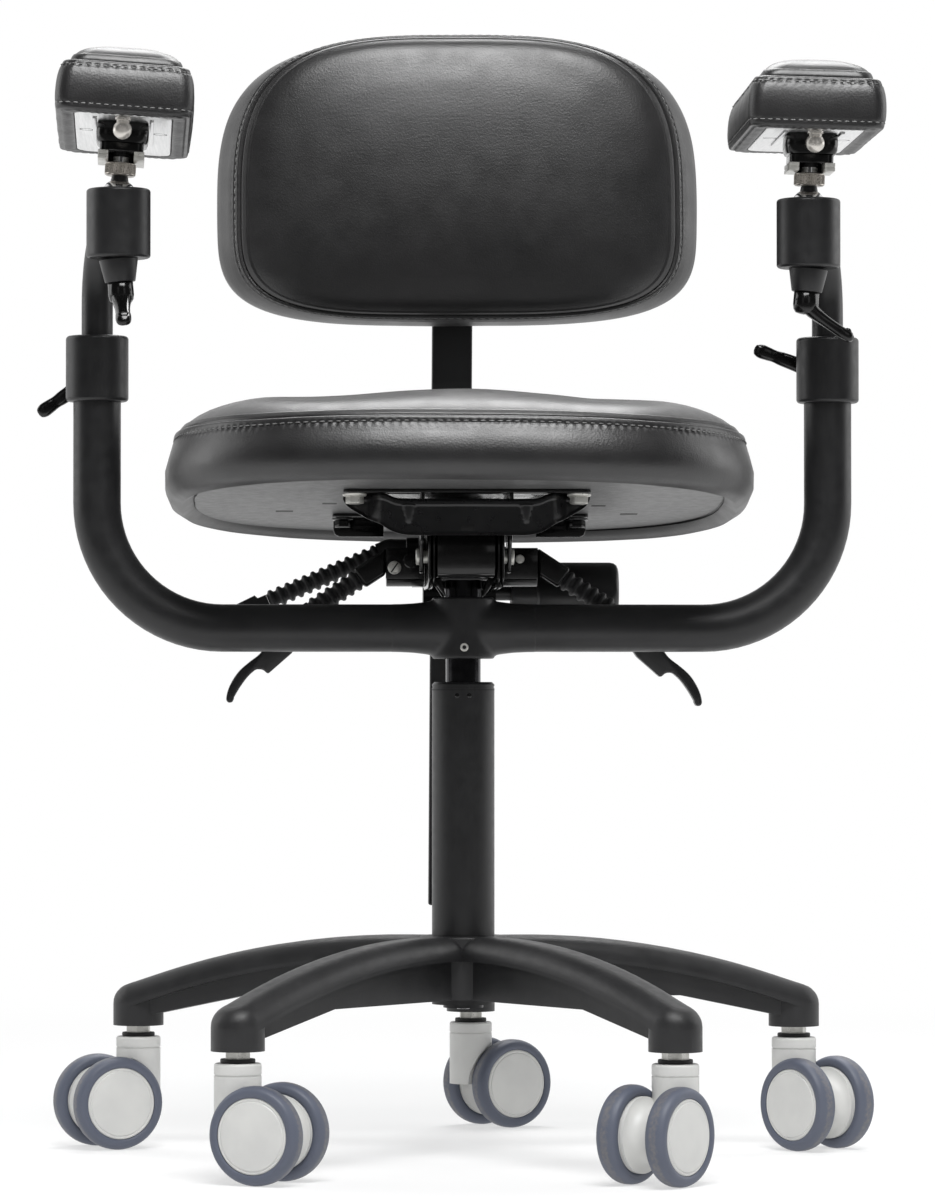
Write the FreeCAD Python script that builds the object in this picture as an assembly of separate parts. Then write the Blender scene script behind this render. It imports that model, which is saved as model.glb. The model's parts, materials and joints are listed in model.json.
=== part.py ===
import FreeCAD, Part
import math
import os

from FreeCAD import Placement, Rotation, Vector

# Laboratory chair on casters, with two arm supports that swivel and tilt.
# Millimetres and degrees. The floor is z = 0, the column stands on the Z axis
# and the sitter faces -Y.

# Clearances
running_fit = 0.05      # radial, between parts that turn or slide
press_fit = 0.02        # radial, between parts that are fixed together
side_gap = 0.3          # beside moving parts
guide_gap = 0.15        # around the flat back bar
overcut = 1.0           # how far a cut runs past the face it opens

# Casters
wheel_diameter = 75.0
wheel_thickness = 18.0
wheel_spread = 62.0     # over both wheels
tyre_depth = 8.5
tyre_round = 4.0
rim_round = 2.0
axle_radius = 4.0
caster_trail = 27.0
fork_top = 90.0
fork_cap_height = 9.0
fork_cap_radius = 18.0
fork_cap_round = 2.0
fork_groove = 0.6
fork_disc_radius = 29.0
fork_disc_thickness = 2.5
fork_waist_radius = 20.0
wheel_clearance = 1.2
rim_step = 0.5          # rim's face behind the tyre's side
axle_inset = 3.0
stem_radius = 5.5
stem_depth = 28.0
stem_thread_radius = 6.0
stem_thread_length = 20.0
seal_radius = 12.7
seal_height = 3.0
hex_across_flats = 18.0
hex_height = 6.0
caster_headings = (32.0, 204.0, -27.0, 232.0, -51.5)

# Star base
rear_leg_angle = 86.7
stem_circle = 281.0
leg_rise = 77.0         # from the underside of a leg's end to the hub's top
leg_root_half_width = 22.0
leg_tip_radius = 20.5
leg_flat_reach = 45.0
leg_bend_radius = 690.0
leg_slope = 18.0
leg_cap_depth = 19.0
leg_round = 16.0
leg_boss_reach = 258.0
boss_overlap = 2.0
web_half_width = 13.0
web_overlap = 8.0
web_flat_reach = 180.0
web_end_drop = 18.0
web_past_boss = 8.0
hub_radius = 35.0
hub_height = 50.0
hub_round = 2.0

# Column and gas spring
column_radius = 25.0
column_wall = 2.5
column_top = 378.4
column_chamfer = 2.0
column_groove = 0.5
column_groove_drop = 4.0
column_below_hub = 4.5
column_floor = 4.0
bush_length = 58.0
bush_recess = 2.0
clip_radius = 16.0
clip_thickness = 2.8
cylinder_radius = 14.0
cylinder_wall = 3.0
cylinder_bottom = 196.0
cylinder_cap = 15.0
taper_length = 44.0
taper_narrowing = 1.0
rod_radius = 5.0
rod_tail = 1.2
thrust_radius = 16.0
thrust_height = 3.5
piston_top = 345.0
piston_height = 14.0

# Arm yoke
yoke_tube_radius = 19.0
yoke_wall = 2.5
yoke_level = 421.5
yoke_bend_radius = 100.0
yoke_half_span = 292.5
yoke_top = 618.0
yoke_boss_radius = 25.0
yoke_boss_height = 49.0
yoke_flare_reach = 20.0
yoke_flare_lip = 2.0
yoke_flare_root = 18.0  # from the column's axis
yoke_boss_round = 2.0

# Tilt mechanism
mech_half_width = 30.0
mech_front = -72.0
mech_rear = 120.0
mech_height = 39.0
mech_round = 4.0
mech_gap = 0.4          # between the yoke's boss and the socket
socket_height = 11.0
socket_radius = 21.0
socket_rim = 1.0        # cone's top inside the body's side
knob_block_drop = 18.0
knob_block_length = 32.0
pin_radius = 5.0
pin_head_out = 3.0
seat_pivot_y = -40.0
seat_pivot_rise = 20.0
back_pivot_y = 104.0
back_pivot_rise = 26.0

# Seat, drawn level and then tilted back
seat_tilt = 5.0
seat_level = 521.0
seat_half_width = 232.0
seat_front = 222.0
seat_rear = 210.0
seat_power = 2.7
seat_fold = 4.0         # fold's edge below the board
seat_fold_inset = 15.0
seat_hem_inset = 5.0
seat_hem_level = 3.0
seat_bulge_level = 17.0
seat_seam_inset = 7.0
seat_seam_level = 42.0
seat_shoulder_inset = 25.0
seat_shoulder_rise = 12.0
seat_crown_inset = 60.0
seat_crown_drop = 4.0
seat_top_inset = 120.0
seat_thickness = 66.0
board_inset = 18.0
board_thickness = 12.0
plate_thickness = 3.0
plate_half_width = 62.0
plate_front = -95.0
plate_rear = 88.0
ear_length = 26.0
front_ear_half_width = 97.0
rear_ear_half_width = 104.0
bowl_depth = 36.0
bowl_half_width = 50.0
bowl_corner = 26.0
cheek_thickness = 3.0
cheek_gap = 3.3
cheek_rear = 2.0
cheek_margin = 13.0
bolt_radius = 4.0
bolt_head_flats = 15.0
bolt_head_height = 6.0
bolt_inset = 9.0
bolt_reach = 8.0

# Back support
back_arm_cheek = 4.0
back_arm_half_width = 20.0
back_arm_height = 22.0
back_arm_cross = 24.0
back_arm_gap = 6.0
bar_half_width = 16.5
bar_thickness = 12.0
bar_round = 2.0
bar_y = 235.0
bar_bottom = 191.0
bar_top = 780.0
sleeve_wall = 8.0
sleeve_height = 50.0
sleeve_drop = 16.0
back_level = 768.0
back_half_width = 200.0
back_above = 147.5
back_below = 90.0
back_power_above = 3.3
back_power_below = 3.8
back_rear = 205.0
back_edge_inset = 7.0
back_bulge_depth = 12.0
back_side_inset = 3.0
back_side_depth = 26.0
back_seam_inset = 14.0
back_seam_depth = 45.0
back_shoulder_inset = 30.0
back_shoulder_drop = 8.0
back_crown_inset = 58.0
back_crown_drop = 2.0
back_top_inset = 80.0
back_thickness = 64.0
shell_thickness = 12.0
shell_inset = 10.0
shell_round = 6.0
shell_bevel = 1.8
shell_boss_half_width = 28.0
shell_boss_margin = 20.0 # boss's lower end above the backrest's

# Levers with ribbed sleeves
lever_level = 470.0
lever_y = 38.0
lever_boss_radius = 11.5
lever_boss_length = 16.0
lever_shaft_radius = 6.0
lever_shaft_depth = 14.0
lever_elbow_x = 70.0
lever_fall = 33.0
lever_arm_radius = 9.0
lever_arm_length = 15.0
core_radius = 4.5
sleeve_outer = 7.2
sleeve_valley = 5.9
rib_pitch = 7.6
lower_ribs = 6
upper_ribs = 13
paddle_root = 8.0
paddle_shoulder = 68.0
paddle_shoulder_drop = 3.5
paddle_depth = 12.5
paddle_length = 96.0
paddle_drop = 27.4
paddle_tip = 3.0
paddle_half_width = 8.0
paddle_round = 1.2
upper_lever_level = 487.0
upper_lever_y = 75.0
upper_lever_elbow_x = 58.0
upper_lever_fall = 23.5
upper_boss_radius = 9.5
upper_boss_length = 14.0
upper_arm_radius = 8.0
grip_length = 48.0
grip_root = 8.0
grip_tip = 6.0
grip_thickness = 10.0

# Tension knob
knob_level = 453.0
knob_y = 110.0
knob_radius = 24.0
knob_start = 43.0
knob_length = 86.0
knob_collar = 21.5      # plain length before the flutes
knob_round = 4.0
knob_flutes = 18
knob_flute_radius = 2.0
knob_shaft_radius = 7.5
knob_shaft_depth = 12.0

# Arm supports
collar_radius = 25.0
collar_height = 52.5
collar_overlap = 16.0
collar_round = 3.0
collar_lever_level = 628.0
collar_screw_radius = 4.0
collar_hub_radius = 9.0
collar_hub_length = 17.0
collar_handle_length = 66.0
collar_handle_root = 7.0
collar_handle_tip = 5.5
collar_handle_thickness = 9.0
post_radius = 12.5
post_wall = 2.0
post_bottom = 560.0
post_bend_radius = 57.0
post_reach = 100.0
post_socket = 7.0
housing_radius = 25.0
housing_height = 54.0
housing_round = 2.5
ball_radius = 14.0
ball_depth = 6.0        # ball's centre below the housing's top
clamp_screw_radius = 5.0
clamp_screw_gap = 0.3
clamp_cone_top = 15.0
clamp_cone_bottom = 11.8
clamp_cone_height = 18.6
clamp_hub_radius = 10.0
clamp_hub_height = 15.0
clamp_handle_length = 48.0
clamp_handle_root = 7.0
clamp_handle_tip = 5.5
clamp_handle_thickness = 9.0
clamp_handle_fall = 33.0
stem_flare_level = 10.5
stem_flare_radius = 7.2
stem_flare_rim = 1.0
stem_neck_radius = 6.5
stem_neck_level = 15.5
pad_thread_radius = 6.0
nut_radius = 12.5
nut_gap = 0.8
nut_height = 10.0
nut_chamfer = 1.2
carrier_gap = 0.5
carrier_plate_half = 17.5
carrier_plate_height = 6.5
carrier_step_half = 17.0
carrier_step_height = 6.0
carrier_half = 20.5
carrier_height = 17.0
carrier_half_length = 24.0
carrier_round = 5.0
thread_engagement = 12.0
slide_gap = 0.3
pad_plate_thickness = 4.0
pad_plate_half_width = 38.0
pad_plate_half_length = 112.0
pad_plate_round = 12.0
pad_rail_thickness = 3.0
pad_rail_height = 2.0
pad_rail_ahead = 38.0   # of the stem
pad_rail_behind = 96.0
stop_pin_ahead = 46.0
stop_pin_radius = 5.0
stop_pin_length = 4.0
stop_ball_radius = 7.3
stop_neck_overlap = 1.0
pad_half_width = 54.0
pad_half_length = 130.0
pad_behind = 60.0       # pad's middle behind the stem
pad_corner = 13.0
pad_hem_inset = 2.0
pad_hem_level = 5.0
pad_seam_inset = 7.0
pad_seam_drop = 12.0    # seam below the pad's top
pad_side_drop = 28.0
pad_shoulder_inset = 13.0
pad_shoulder_drop = 6.0
pad_crown_inset = 25.0
pad_crown_drop = 1.5
pad_top_inset = 40.0
pad_thickness = 50.0
pad_pocket_gap = 0.3

# What differs between the two arm supports: side of the chair, inward turn of the post,
# level of the housing's top, tilt of the pad, and the angles of the two handles
arm_settings = {
    "left": dict(side=-1, turn=11.5, top=762.5, pitch=-1.6, roll=3.7, yaw=1.7,
                 collar_handle=215.0, clamp_handle=-90.0),
    "right": dict(side=1, turn=14.5, top=756.5, pitch=1.5, roll=1.6, yaw=-1.0,
                  collar_handle=160.0, clamp_handle=0.0),
}

# Levels and places that follow from the driving dimensions
wheel_level = wheel_diameter / 2
wheel_inner = wheel_spread / 2 - wheel_thickness
fork_half_width = wheel_inner - side_gap
hex_bottom = fork_top + seal_height
leg_bottom = hex_bottom + hex_height
hub_top = leg_bottom + leg_rise
hub_bottom = hub_top - hub_height
column_bottom = hub_bottom - column_below_hub
clip_bottom = column_bottom - clip_thickness
yoke_boss_top = yoke_level + yoke_boss_height / 2
socket_bottom = yoke_boss_top + mech_gap
mech_bottom = socket_bottom + socket_height
mech_top = mech_bottom + mech_height
collar_bottom = yoke_top - collar_overlap
seat_pivot = Vector(0, seat_pivot_y, mech_bottom + seat_pivot_rise)
back_pivot = Vector(0, back_pivot_y, mech_bottom + back_pivot_rise)
seat_place = Placement(Vector(0, 0, seat_level), Rotation(Vector(1, 0, 0), -seat_tilt))
up = Vector(0, 0, 1)
right = Vector(1, 0, 0)
rearward = Vector(0, 1, 0)


def rod(radius, start, end):
    """Solid round bar between two points."""
    run = end.sub(start)
    return Part.makeCylinder(radius, run.Length, start, run)


def tube(outer, inner, start, end):
    """Round tube between two points."""
    return rod(outer, start, end).cut(rod(inner, start, end))


def block(low, high):
    """Box between its lowest and highest corners."""
    return Part.makeBox(high.x - low.x, high.y - low.y, high.z - low.z, low)


def cone(radius_low, radius_high, start, height):
    """Upright truncated cone."""
    return Part.makeCone(radius_low, radius_high, height, start, up)


def joined(shapes):
    """One solid from touching shapes."""
    return shapes[0].multiFuse(shapes[1:]).removeSplitter()


def line(start, end):
    return Part.LineSegment(start, end).toShape()


def arc(start, middle, end):
    return Part.Arc(start, middle, end).toShape()


def filled(edges):
    """Face inside a closed run of edges."""
    return Part.Face(Part.Wire(Part.__sortEdges__(edges)))


def turned(points, axis_start, axis):
    """Solid of revolution of a closed polygon."""
    face = Part.Face(Part.makePolygon(points + [points[0]]))
    return face.revolve(axis_start, axis, 360)


def hexagon(across_flats, bottom, height, centre):
    """Upright hexagonal prism."""
    corner = across_flats / math.sqrt(3)
    angles = [math.radians(60 * k) for k in range(7)]
    points = [centre + Vector(corner * math.cos(a), corner * math.sin(a), bottom) for a in angles]
    return Part.Face(Part.makePolygon(points)).extrude(Vector(0, 0, height))


def rounded_rim(shape, radius, level):
    """Rounds every edge that lies wholly at one level."""
    def at_level(edge):
        heights = [v.Z for v in edge.Vertexes] + [edge.CenterOfMass.z]
        return all(abs(height - level) < 1e-4 for height in heights)
    return shape.makeFillet(radius, [e for e in shape.Edges if at_level(e)])


def upright_edges(shape):
    """Edges whose ends lie at different levels."""
    return [e for e in shape.Edges if abs(e.Vertexes[0].Z - e.Vertexes[-1].Z) > 1e-4]


def round_edges(shape):
    """Full circles among a shape's edges."""
    return [e for e in shape.Edges if len(e.Vertexes) == 1]


def tapered_bar(length, root, tip, thickness):
    """Flat handle in the XY plane: root round at the origin, tip round at +X."""
    outline = [
        line(Vector(0, -root, 0), Vector(length, -tip, 0)),
        arc(Vector(length, -tip, 0), Vector(length + tip, 0, 0), Vector(length, tip, 0)),
        line(Vector(length, tip, 0), Vector(0, root, 0)),
        arc(Vector(0, root, 0), Vector(-root, 0, 0), Vector(0, -root, 0)),
    ]
    bar = filled(outline).extrude(Vector(0, 0, thickness))
    bar.translate(Vector(0, 0, -thickness / 2))
    return bar.makeFillet(thickness / 5, bar.Edges)


def swept(radius, path_edges, start, direction):
    """Round bar along a smooth path of lines and arcs."""
    profile = Part.Wire(Part.makeCircle(radius, start, direction))
    return Part.Wire(path_edges).makePipeShell([profile], True, False)


def oval(half_width, front, rear, power_front, power_rear, level):
    """Closed ring of arcs on a squared oval, front at -Y and rear at +Y."""
    def point(angle):
        c, s = math.cos(angle), math.sin(angle)
        reach, power = (rear, power_rear) if s >= 0 else (front, power_front)
        x = half_width * math.copysign(abs(c) ** (2 / power), c)
        y = reach * math.copysign(abs(s) ** (2 / power), s)
        return Vector(x, y, level)
    arc_count = 16
    step = 2 * math.pi / arc_count
    edges = []
    for k in range(arc_count):
        edges.append(arc(point(k * step), point((k + 0.5) * step), point((k + 1) % arc_count * step)))
    return Part.Wire(edges)


def rounded_ring(half_width, front, rear, corner, level):
    """Closed ring of a rectangle with rounded corners, front at -Y and rear at +Y."""
    middles = (
        (half_width - corner, rear - corner, 0),
        (corner - half_width, rear - corner, 90),
        (corner - half_width, corner - front, 180),
        (half_width - corner, corner - front, 270),
    )
    arcs = []
    for x, y, start in middles:
        ends = [Vector(x + corner * math.cos(math.radians(start + turn)),
                       y + corner * math.sin(math.radians(start + turn)), level) for turn in (0, 45, 90)]
        arcs.append(ends)
    edges = []
    for k, ends in enumerate(arcs):
        edges.append(arc(*ends))
        edges.append(line(ends[2], arcs[(k + 1) % len(arcs)][0]))
    return Part.Wire(edges)


def cushion(half_width, front, rear, power_front, power_rear, rings):
    """Crowned solid through squared ovals, each given as inset and level."""
    wires = [
        oval(half_width - inset, front - inset, rear - inset, power_front, power_rear, level)
        for inset, level in rings
    ]
    return Part.makeLoft(wires, True, False)


def ribbed_sleeve(bore, valley, outer, pitch, ribs):
    """Ribbed rubber sleeve along +X, four circles for each rib."""
    foot_end = 0.98
    wires = []
    for rib in range(ribs):
        for share, radius in ((0.0, valley), (0.3, outer), (0.7, outer), (foot_end, valley)):
            centre = Vector((rib + share) * pitch, 0, 0)
            wires.append(Part.Wire(Part.makeCircle(radius, centre, right)))
    skin = Part.makeLoft(wires, True, True)
    length = (ribs - 1 + foot_end) * pitch
    return skin.cut(rod(bore, Vector(-overcut, 0, 0), Vector(length + overcut, 0, 0)))


# Star base

def leg_edge(depth, reach):
    """Edges of a leg's top line, or of a line parallel to it, from the axis outwards."""
    turn = math.radians(leg_slope)
    centre = Vector(leg_flat_reach, 0, hub_top - leg_bend_radius)
    radius = leg_bend_radius - depth
    start = Vector(0, 0, hub_top - depth)
    bend = Vector(leg_flat_reach, 0, hub_top - depth)
    middle = centre + Vector(radius * math.sin(turn / 2), 0, radius * math.cos(turn / 2))
    straight = centre + Vector(radius * math.sin(turn), 0, radius * math.cos(turn))
    end = Vector(reach, 0, straight.z - (reach - straight.x) * math.tan(turn))
    return [line(start, bend), arc(bend, middle, straight), line(straight, end)], start, end


def star_leg():
    """One leg along +X: a rounded cap with a round boss under its end, over a narrower web."""
    reach = stem_circle + leg_tip_radius
    top, top_start, top_end = leg_edge(0, reach + overcut)
    under, under_start, under_end = leg_edge(leg_cap_depth, reach + overcut)
    side = top + [line(top_end, under_end)] + under + [line(under_start, top_start)]
    half = leg_root_half_width + overcut
    cap = filled(side).extrude(Vector(0, 2 * half, 0))
    cap.translate(Vector(0, -half, 0))
    tip = leg_tip_radius
    taper_angle = math.asin((leg_root_half_width - tip) / stem_circle)
    side_x = stem_circle + tip * math.sin(taper_angle)
    side_y = tip * math.cos(taper_angle)
    root = side_y + side_x * math.tan(taper_angle)
    plan = [
        line(Vector(0, -root, 0), Vector(side_x, -side_y, 0)),
        arc(Vector(side_x, -side_y, 0), Vector(reach, 0, 0), Vector(side_x, side_y, 0)),
        line(Vector(side_x, side_y, 0), Vector(0, root, 0)),
        line(Vector(0, root, 0), Vector(0, -root, 0)),
    ]
    cap = cap.common(filled(plan).extrude(Vector(0, 0, hub_top + overcut)))

    crown = Part.Wire(top)

    def along_rim(edge):
        middle = edge.valueAt((edge.FirstParameter + edge.LastParameter) / 2)
        level = Part.Vertex(Vector(middle.x, 0, middle.z))
        on_top = crown.distToShape(level)[0] < 0.01
        return on_top and (abs(middle.y) > leg_tip_radius / 2 or middle.x > stem_circle)

    cap = cap.makeFillet(leg_round, [e for e in cap.Edges if along_rim(e)])

    # the boss reaches into the cap, with its upper end cut along the leg's slope
    slope = math.tan(math.radians(leg_slope))
    low_inner = Vector(leg_boss_reach, 0, leg_bottom)
    low_outer = Vector(reach, 0, leg_bottom)
    high_outer = Vector(reach, 0, under_end.z + overcut * slope + boss_overlap)
    high_inner = Vector(leg_boss_reach, 0, high_outer.z + (reach - leg_boss_reach) * slope)
    boss = filled([line(low_inner, low_outer), line(low_outer, high_outer), line(high_outer, high_inner),
                   line(high_inner, low_inner)]).extrude(Vector(0, 2 * half, 0))
    boss.translate(Vector(0, -half, 0))
    boss = boss.common(rod(tip, Vector(stem_circle, 0, leg_bottom), Vector(stem_circle, 0, hub_top)))
    cap = cap.fuse(boss)

    web_reach = leg_boss_reach + web_past_boss
    roof, roof_start, roof_end = leg_edge(leg_cap_depth - web_overlap, web_reach)
    low_start = Vector(0, 0, hub_bottom)
    low_bend = Vector(web_flat_reach, 0, hub_bottom)
    low_end = Vector(web_reach, 0, hub_bottom - web_end_drop)
    web_side = roof + [line(roof_end, low_end), line(low_end, low_bend), line(low_bend, low_start)]
    web_side.append(line(low_start, roof_start))
    web = filled(web_side).extrude(Vector(0, 2 * web_half_width, 0))
    web.translate(Vector(0, -web_half_width, 0))
    return cap.fuse(web)


def caster_place(index):
    """Stem's place of a caster, turned to its own heading."""
    angle = math.radians(rear_leg_angle + 360 / len(caster_headings) * index)
    foot = Vector(stem_circle * math.cos(angle), stem_circle * math.sin(angle), 0)
    return Placement(foot, Rotation(up, caster_headings[index]))


def make_star_base():
    leg = star_leg()
    hub = Part.makeCylinder(hub_radius, hub_height, Vector(0, 0, hub_bottom))
    hub = rounded_rim(hub, hub_round, hub_top)
    pieces = [hub]
    for index in range(len(caster_headings)):
        copy = leg.copy()
        copy.rotate(Vector(), up, rear_leg_angle + 360 / len(caster_headings) * index)
        pieces.append(copy)
    base = joined(pieces)
    bore_low = Vector(0, 0, hub_bottom - overcut)
    base = base.cut(rod(column_radius + press_fit, bore_low, Vector(0, 0, hub_top + overcut)))
    for index in range(len(caster_headings)):
        foot = caster_place(index).Base
        hole_top = leg_bottom + stem_thread_length + side_gap
        low = foot + Vector(0, 0, leg_bottom - overcut)
        base = base.cut(rod(stem_thread_radius + press_fit, low, foot + Vector(0, 0, hole_top)))
    return base


# Casters, drawn with the stem on the Z axis and the wheels trailing to +X

def make_caster_stem():
    thread = rod(stem_thread_radius, Vector(0, 0, leg_bottom), Vector(0, 0, leg_bottom + stem_thread_length))
    collar = hexagon(hex_across_flats, hex_bottom, hex_height, Vector())
    flange = rod(seal_radius, Vector(0, 0, fork_top + side_gap), Vector(0, 0, hex_bottom))
    pin = rod(stem_radius, Vector(0, 0, fork_top - stem_depth), Vector(0, 0, hex_bottom))
    return joined([thread, collar, flange, pin])


def make_caster_fork():
    cap_bottom = fork_top - fork_cap_height
    neck = rod(fork_cap_radius, Vector(0, 0, wheel_level), Vector(0, 0, fork_top))
    neck = rounded_rim(neck, fork_cap_round, fork_top)
    groove_low = Vector(0, 0, cap_bottom - fork_groove)
    groove_high = Vector(0, 0, cap_bottom + fork_groove)
    groove = tube(fork_cap_radius + overcut, fork_cap_radius - fork_groove, groove_low, groove_high)
    neck = neck.cut(groove)
    hub = Vector(caster_trail, 0, wheel_level)
    for side in (-1, 1):
        inner = hub + Vector(0, side * fork_half_width, 0)
        outer = hub + Vector(0, side * wheel_spread, 0)
        neck = neck.cut(rod(wheel_level + wheel_clearance, inner, outer))
    half = fork_half_width
    rim = half - fork_disc_thickness
    spool = [
        line(hub + Vector(0, -half, 0), hub + Vector(0, -half, fork_disc_radius)),
        line(hub + Vector(0, -half, fork_disc_radius), hub + Vector(0, -rim, fork_disc_radius)),
        arc(hub + Vector(0, -rim, fork_disc_radius), hub + Vector(0, 0, fork_waist_radius),
            hub + Vector(0, rim, fork_disc_radius)),
        line(hub + Vector(0, rim, fork_disc_radius), hub + Vector(0, half, fork_disc_radius)),
        line(hub + Vector(0, half, fork_disc_radius), hub + Vector(0, half, 0)),
        line(hub + Vector(0, half, 0), hub + Vector(0, -half, 0)),
    ]
    waist = filled(spool).revolve(hub, rearward, 360)
    fork = joined([neck, waist])
    bore_low = Vector(0, 0, fork_top - stem_depth - side_gap)
    fork = fork.cut(rod(stem_radius + running_fit, bore_low, Vector(0, 0, fork_top + overcut)))
    reach = Vector(0, fork_half_width + overcut, 0)
    return fork.cut(rod(axle_radius + running_fit, hub - reach, hub + reach))


def wheel_ring(outer, inner, thickness, round_radius, side):
    """Round-edged ring on the wheel axis, on one side of the fork."""
    middle = wheel_inner + wheel_thickness / 2
    hub = Vector(caster_trail, side * middle, wheel_level)
    half = Vector(0, thickness / 2, 0)
    disc = rod(outer, hub - half, hub + half)
    disc = disc.makeFillet(round_radius, round_edges(disc))
    return disc.cut(rod(inner, hub - half * 2, hub + half * 2))


def make_caster_rims():
    rim_radius = wheel_level - tyre_depth
    thickness = wheel_thickness - 2 * rim_step
    bore = axle_radius + press_fit
    rims = [wheel_ring(rim_radius, bore, thickness, rim_round, side) for side in (-1, 1)]
    hub = Vector(caster_trail, 0, wheel_level)
    reach = Vector(0, wheel_spread / 2 - axle_inset, 0)
    return Part.makeCompound(rims + [rod(axle_radius, hub - reach, hub + reach)])


def make_caster_tyres():
    inner = wheel_level - tyre_depth + press_fit
    tyres = [wheel_ring(wheel_level, inner, wheel_thickness, tyre_round, side) for side in (-1, 1)]
    return Part.makeCompound(tyres)


# Column and gas spring

def make_column_tube():
    inner = column_radius - column_wall
    body = rod(column_radius, Vector(0, 0, column_bottom), Vector(0, 0, column_top))
    rim = [e for e in round_edges(body) if e.CenterOfMass.z > (column_bottom + column_top) / 2]
    body = body.makeChamfer(column_chamfer, rim)
    floor_top = Vector(0, 0, column_bottom + column_floor)
    body = body.cut(rod(inner, floor_top, Vector(0, 0, column_top + overcut)))
    body = body.cut(rod(rod_radius + running_fit, Vector(0, 0, column_bottom - overcut), floor_top + up))
    groove = column_top - column_groove_drop
    ring_low = Vector(0, 0, groove - column_groove)
    ring_high = Vector(0, 0, groove + column_groove)
    body = body.cut(tube(column_radius + overcut, column_radius - column_groove, ring_low, ring_high))
    bush_top = Vector(0, 0, column_top - bush_recess)
    bush_low = Vector(0, 0, column_top - bush_recess - bush_length)
    bush = tube(inner - press_fit, cylinder_radius + running_fit, bush_low, bush_top)
    return Part.makeCompound([body, bush])


def make_column_clip():
    low = Vector(0, 0, clip_bottom)
    return tube(clip_radius, rod_radius + running_fit, low, Vector(0, 0, column_bottom))


def make_piston_rod():
    seat = column_bottom + column_floor + running_fit
    bar = rod(rod_radius, Vector(0, 0, clip_bottom - rod_tail), Vector(0, 0, piston_top))
    flange = rod(thrust_radius, Vector(0, 0, seat), Vector(0, 0, seat + thrust_height))
    piston_radius = cylinder_radius - cylinder_wall - running_fit
    piston = rod(piston_radius, Vector(0, 0, piston_top - piston_height), Vector(0, 0, piston_top))
    return joined([bar, flange, piston])


def taper(gap):
    """Cone of the gas spring's upper end, grown by a gap."""
    return cone(cylinder_radius + gap, cylinder_radius - taper_narrowing + gap,
                Vector(0, 0, socket_bottom), taper_length)


def make_gas_cylinder():
    body = rod(cylinder_radius, Vector(0, 0, cylinder_bottom), Vector(0, 0, socket_bottom))
    body = joined([body, taper(0)])
    inner = cylinder_radius - cylinder_wall
    bore_low = Vector(0, 0, cylinder_bottom + cylinder_cap)
    body = body.cut(rod(inner, bore_low, Vector(0, 0, socket_bottom)))
    neck_low = Vector(0, 0, cylinder_bottom - overcut)
    return body.cut(rod(rod_radius + running_fit, neck_low, bore_low + up))


# Arm yoke

def yoke_path():
    """Centre line of the U, from the left upright's top to the right one's."""
    span, bend, low = yoke_half_span, yoke_bend_radius, yoke_level
    inset = bend * (1 - math.sqrt(0.5))
    left_top = Vector(-span, 0, yoke_top)
    left_bend = Vector(-span, 0, low + bend)
    left_middle = Vector(-span + inset, 0, low + inset)
    left_run = Vector(-span + bend, 0, low)
    right_run = Vector(span - bend, 0, low)
    right_middle = Vector(span - inset, 0, low + inset)
    right_bend = Vector(span, 0, low + bend)
    right_top = Vector(span, 0, yoke_top)
    return [
        line(left_top, left_bend),
        arc(left_bend, left_middle, left_run),
        line(left_run, right_run),
        arc(right_run, right_middle, right_bend),
        line(right_bend, right_top),
    ]


def make_arm_yoke():
    start = Vector(-yoke_half_span, 0, yoke_top)
    skin = swept(yoke_tube_radius, yoke_path(), start, up)
    hollow = swept(yoke_tube_radius - yoke_wall, yoke_path(), start, up)
    boss_low = Vector(0, 0, yoke_boss_top - yoke_boss_height)
    boss = rod(yoke_boss_radius, boss_low, Vector(0, 0, yoke_boss_top))
    boss = rounded_rim(boss, yoke_boss_round, yoke_boss_top)
    boss = rounded_rim(boss, yoke_boss_round, boss_low.z)
    reach = yoke_boss_radius + yoke_flare_reach
    wide = yoke_boss_height / 2 - yoke_flare_lip
    hip = math.sqrt(0.5)
    axis_point = Vector(0, 0, yoke_level)
    pieces = [skin.cut(hollow), boss]
    for side in (-1, 1):
        near = yoke_flare_root
        run = reach - near
        rise = wide - yoke_tube_radius
        root = axis_point + Vector(side * near, 0, wide)
        waist = Vector(side * (reach - run * hip), 0, yoke_tube_radius + rise * (1 - hip))
        tip = axis_point + Vector(side * reach, 0, yoke_tube_radius)
        root_axis = axis_point + Vector(side * near, 0, 0)
        tip_axis = axis_point + Vector(side * reach, 0, 0)
        inner_tip = axis_point + Vector(side * reach, 0, yoke_tube_radius - yoke_wall / 2)
        inner_root = axis_point + Vector(side * near, 0, yoke_tube_radius - yoke_wall / 2)
        flare = [
            arc(root, axis_point + waist, tip),
            line(tip, inner_tip),
            line(inner_tip, inner_root),
            line(inner_root, root),
        ]
        pieces.append(filled(flare).revolve(root_axis, tip_axis - root_axis, 360))
    yoke = joined(pieces)
    low = Vector(0, 0, yoke_level - yoke_boss_height)
    high = Vector(0, 0, yoke_level + yoke_boss_height)
    return yoke.cut(rod(cylinder_radius + press_fit, low, high))


# Tilt mechanism

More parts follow.
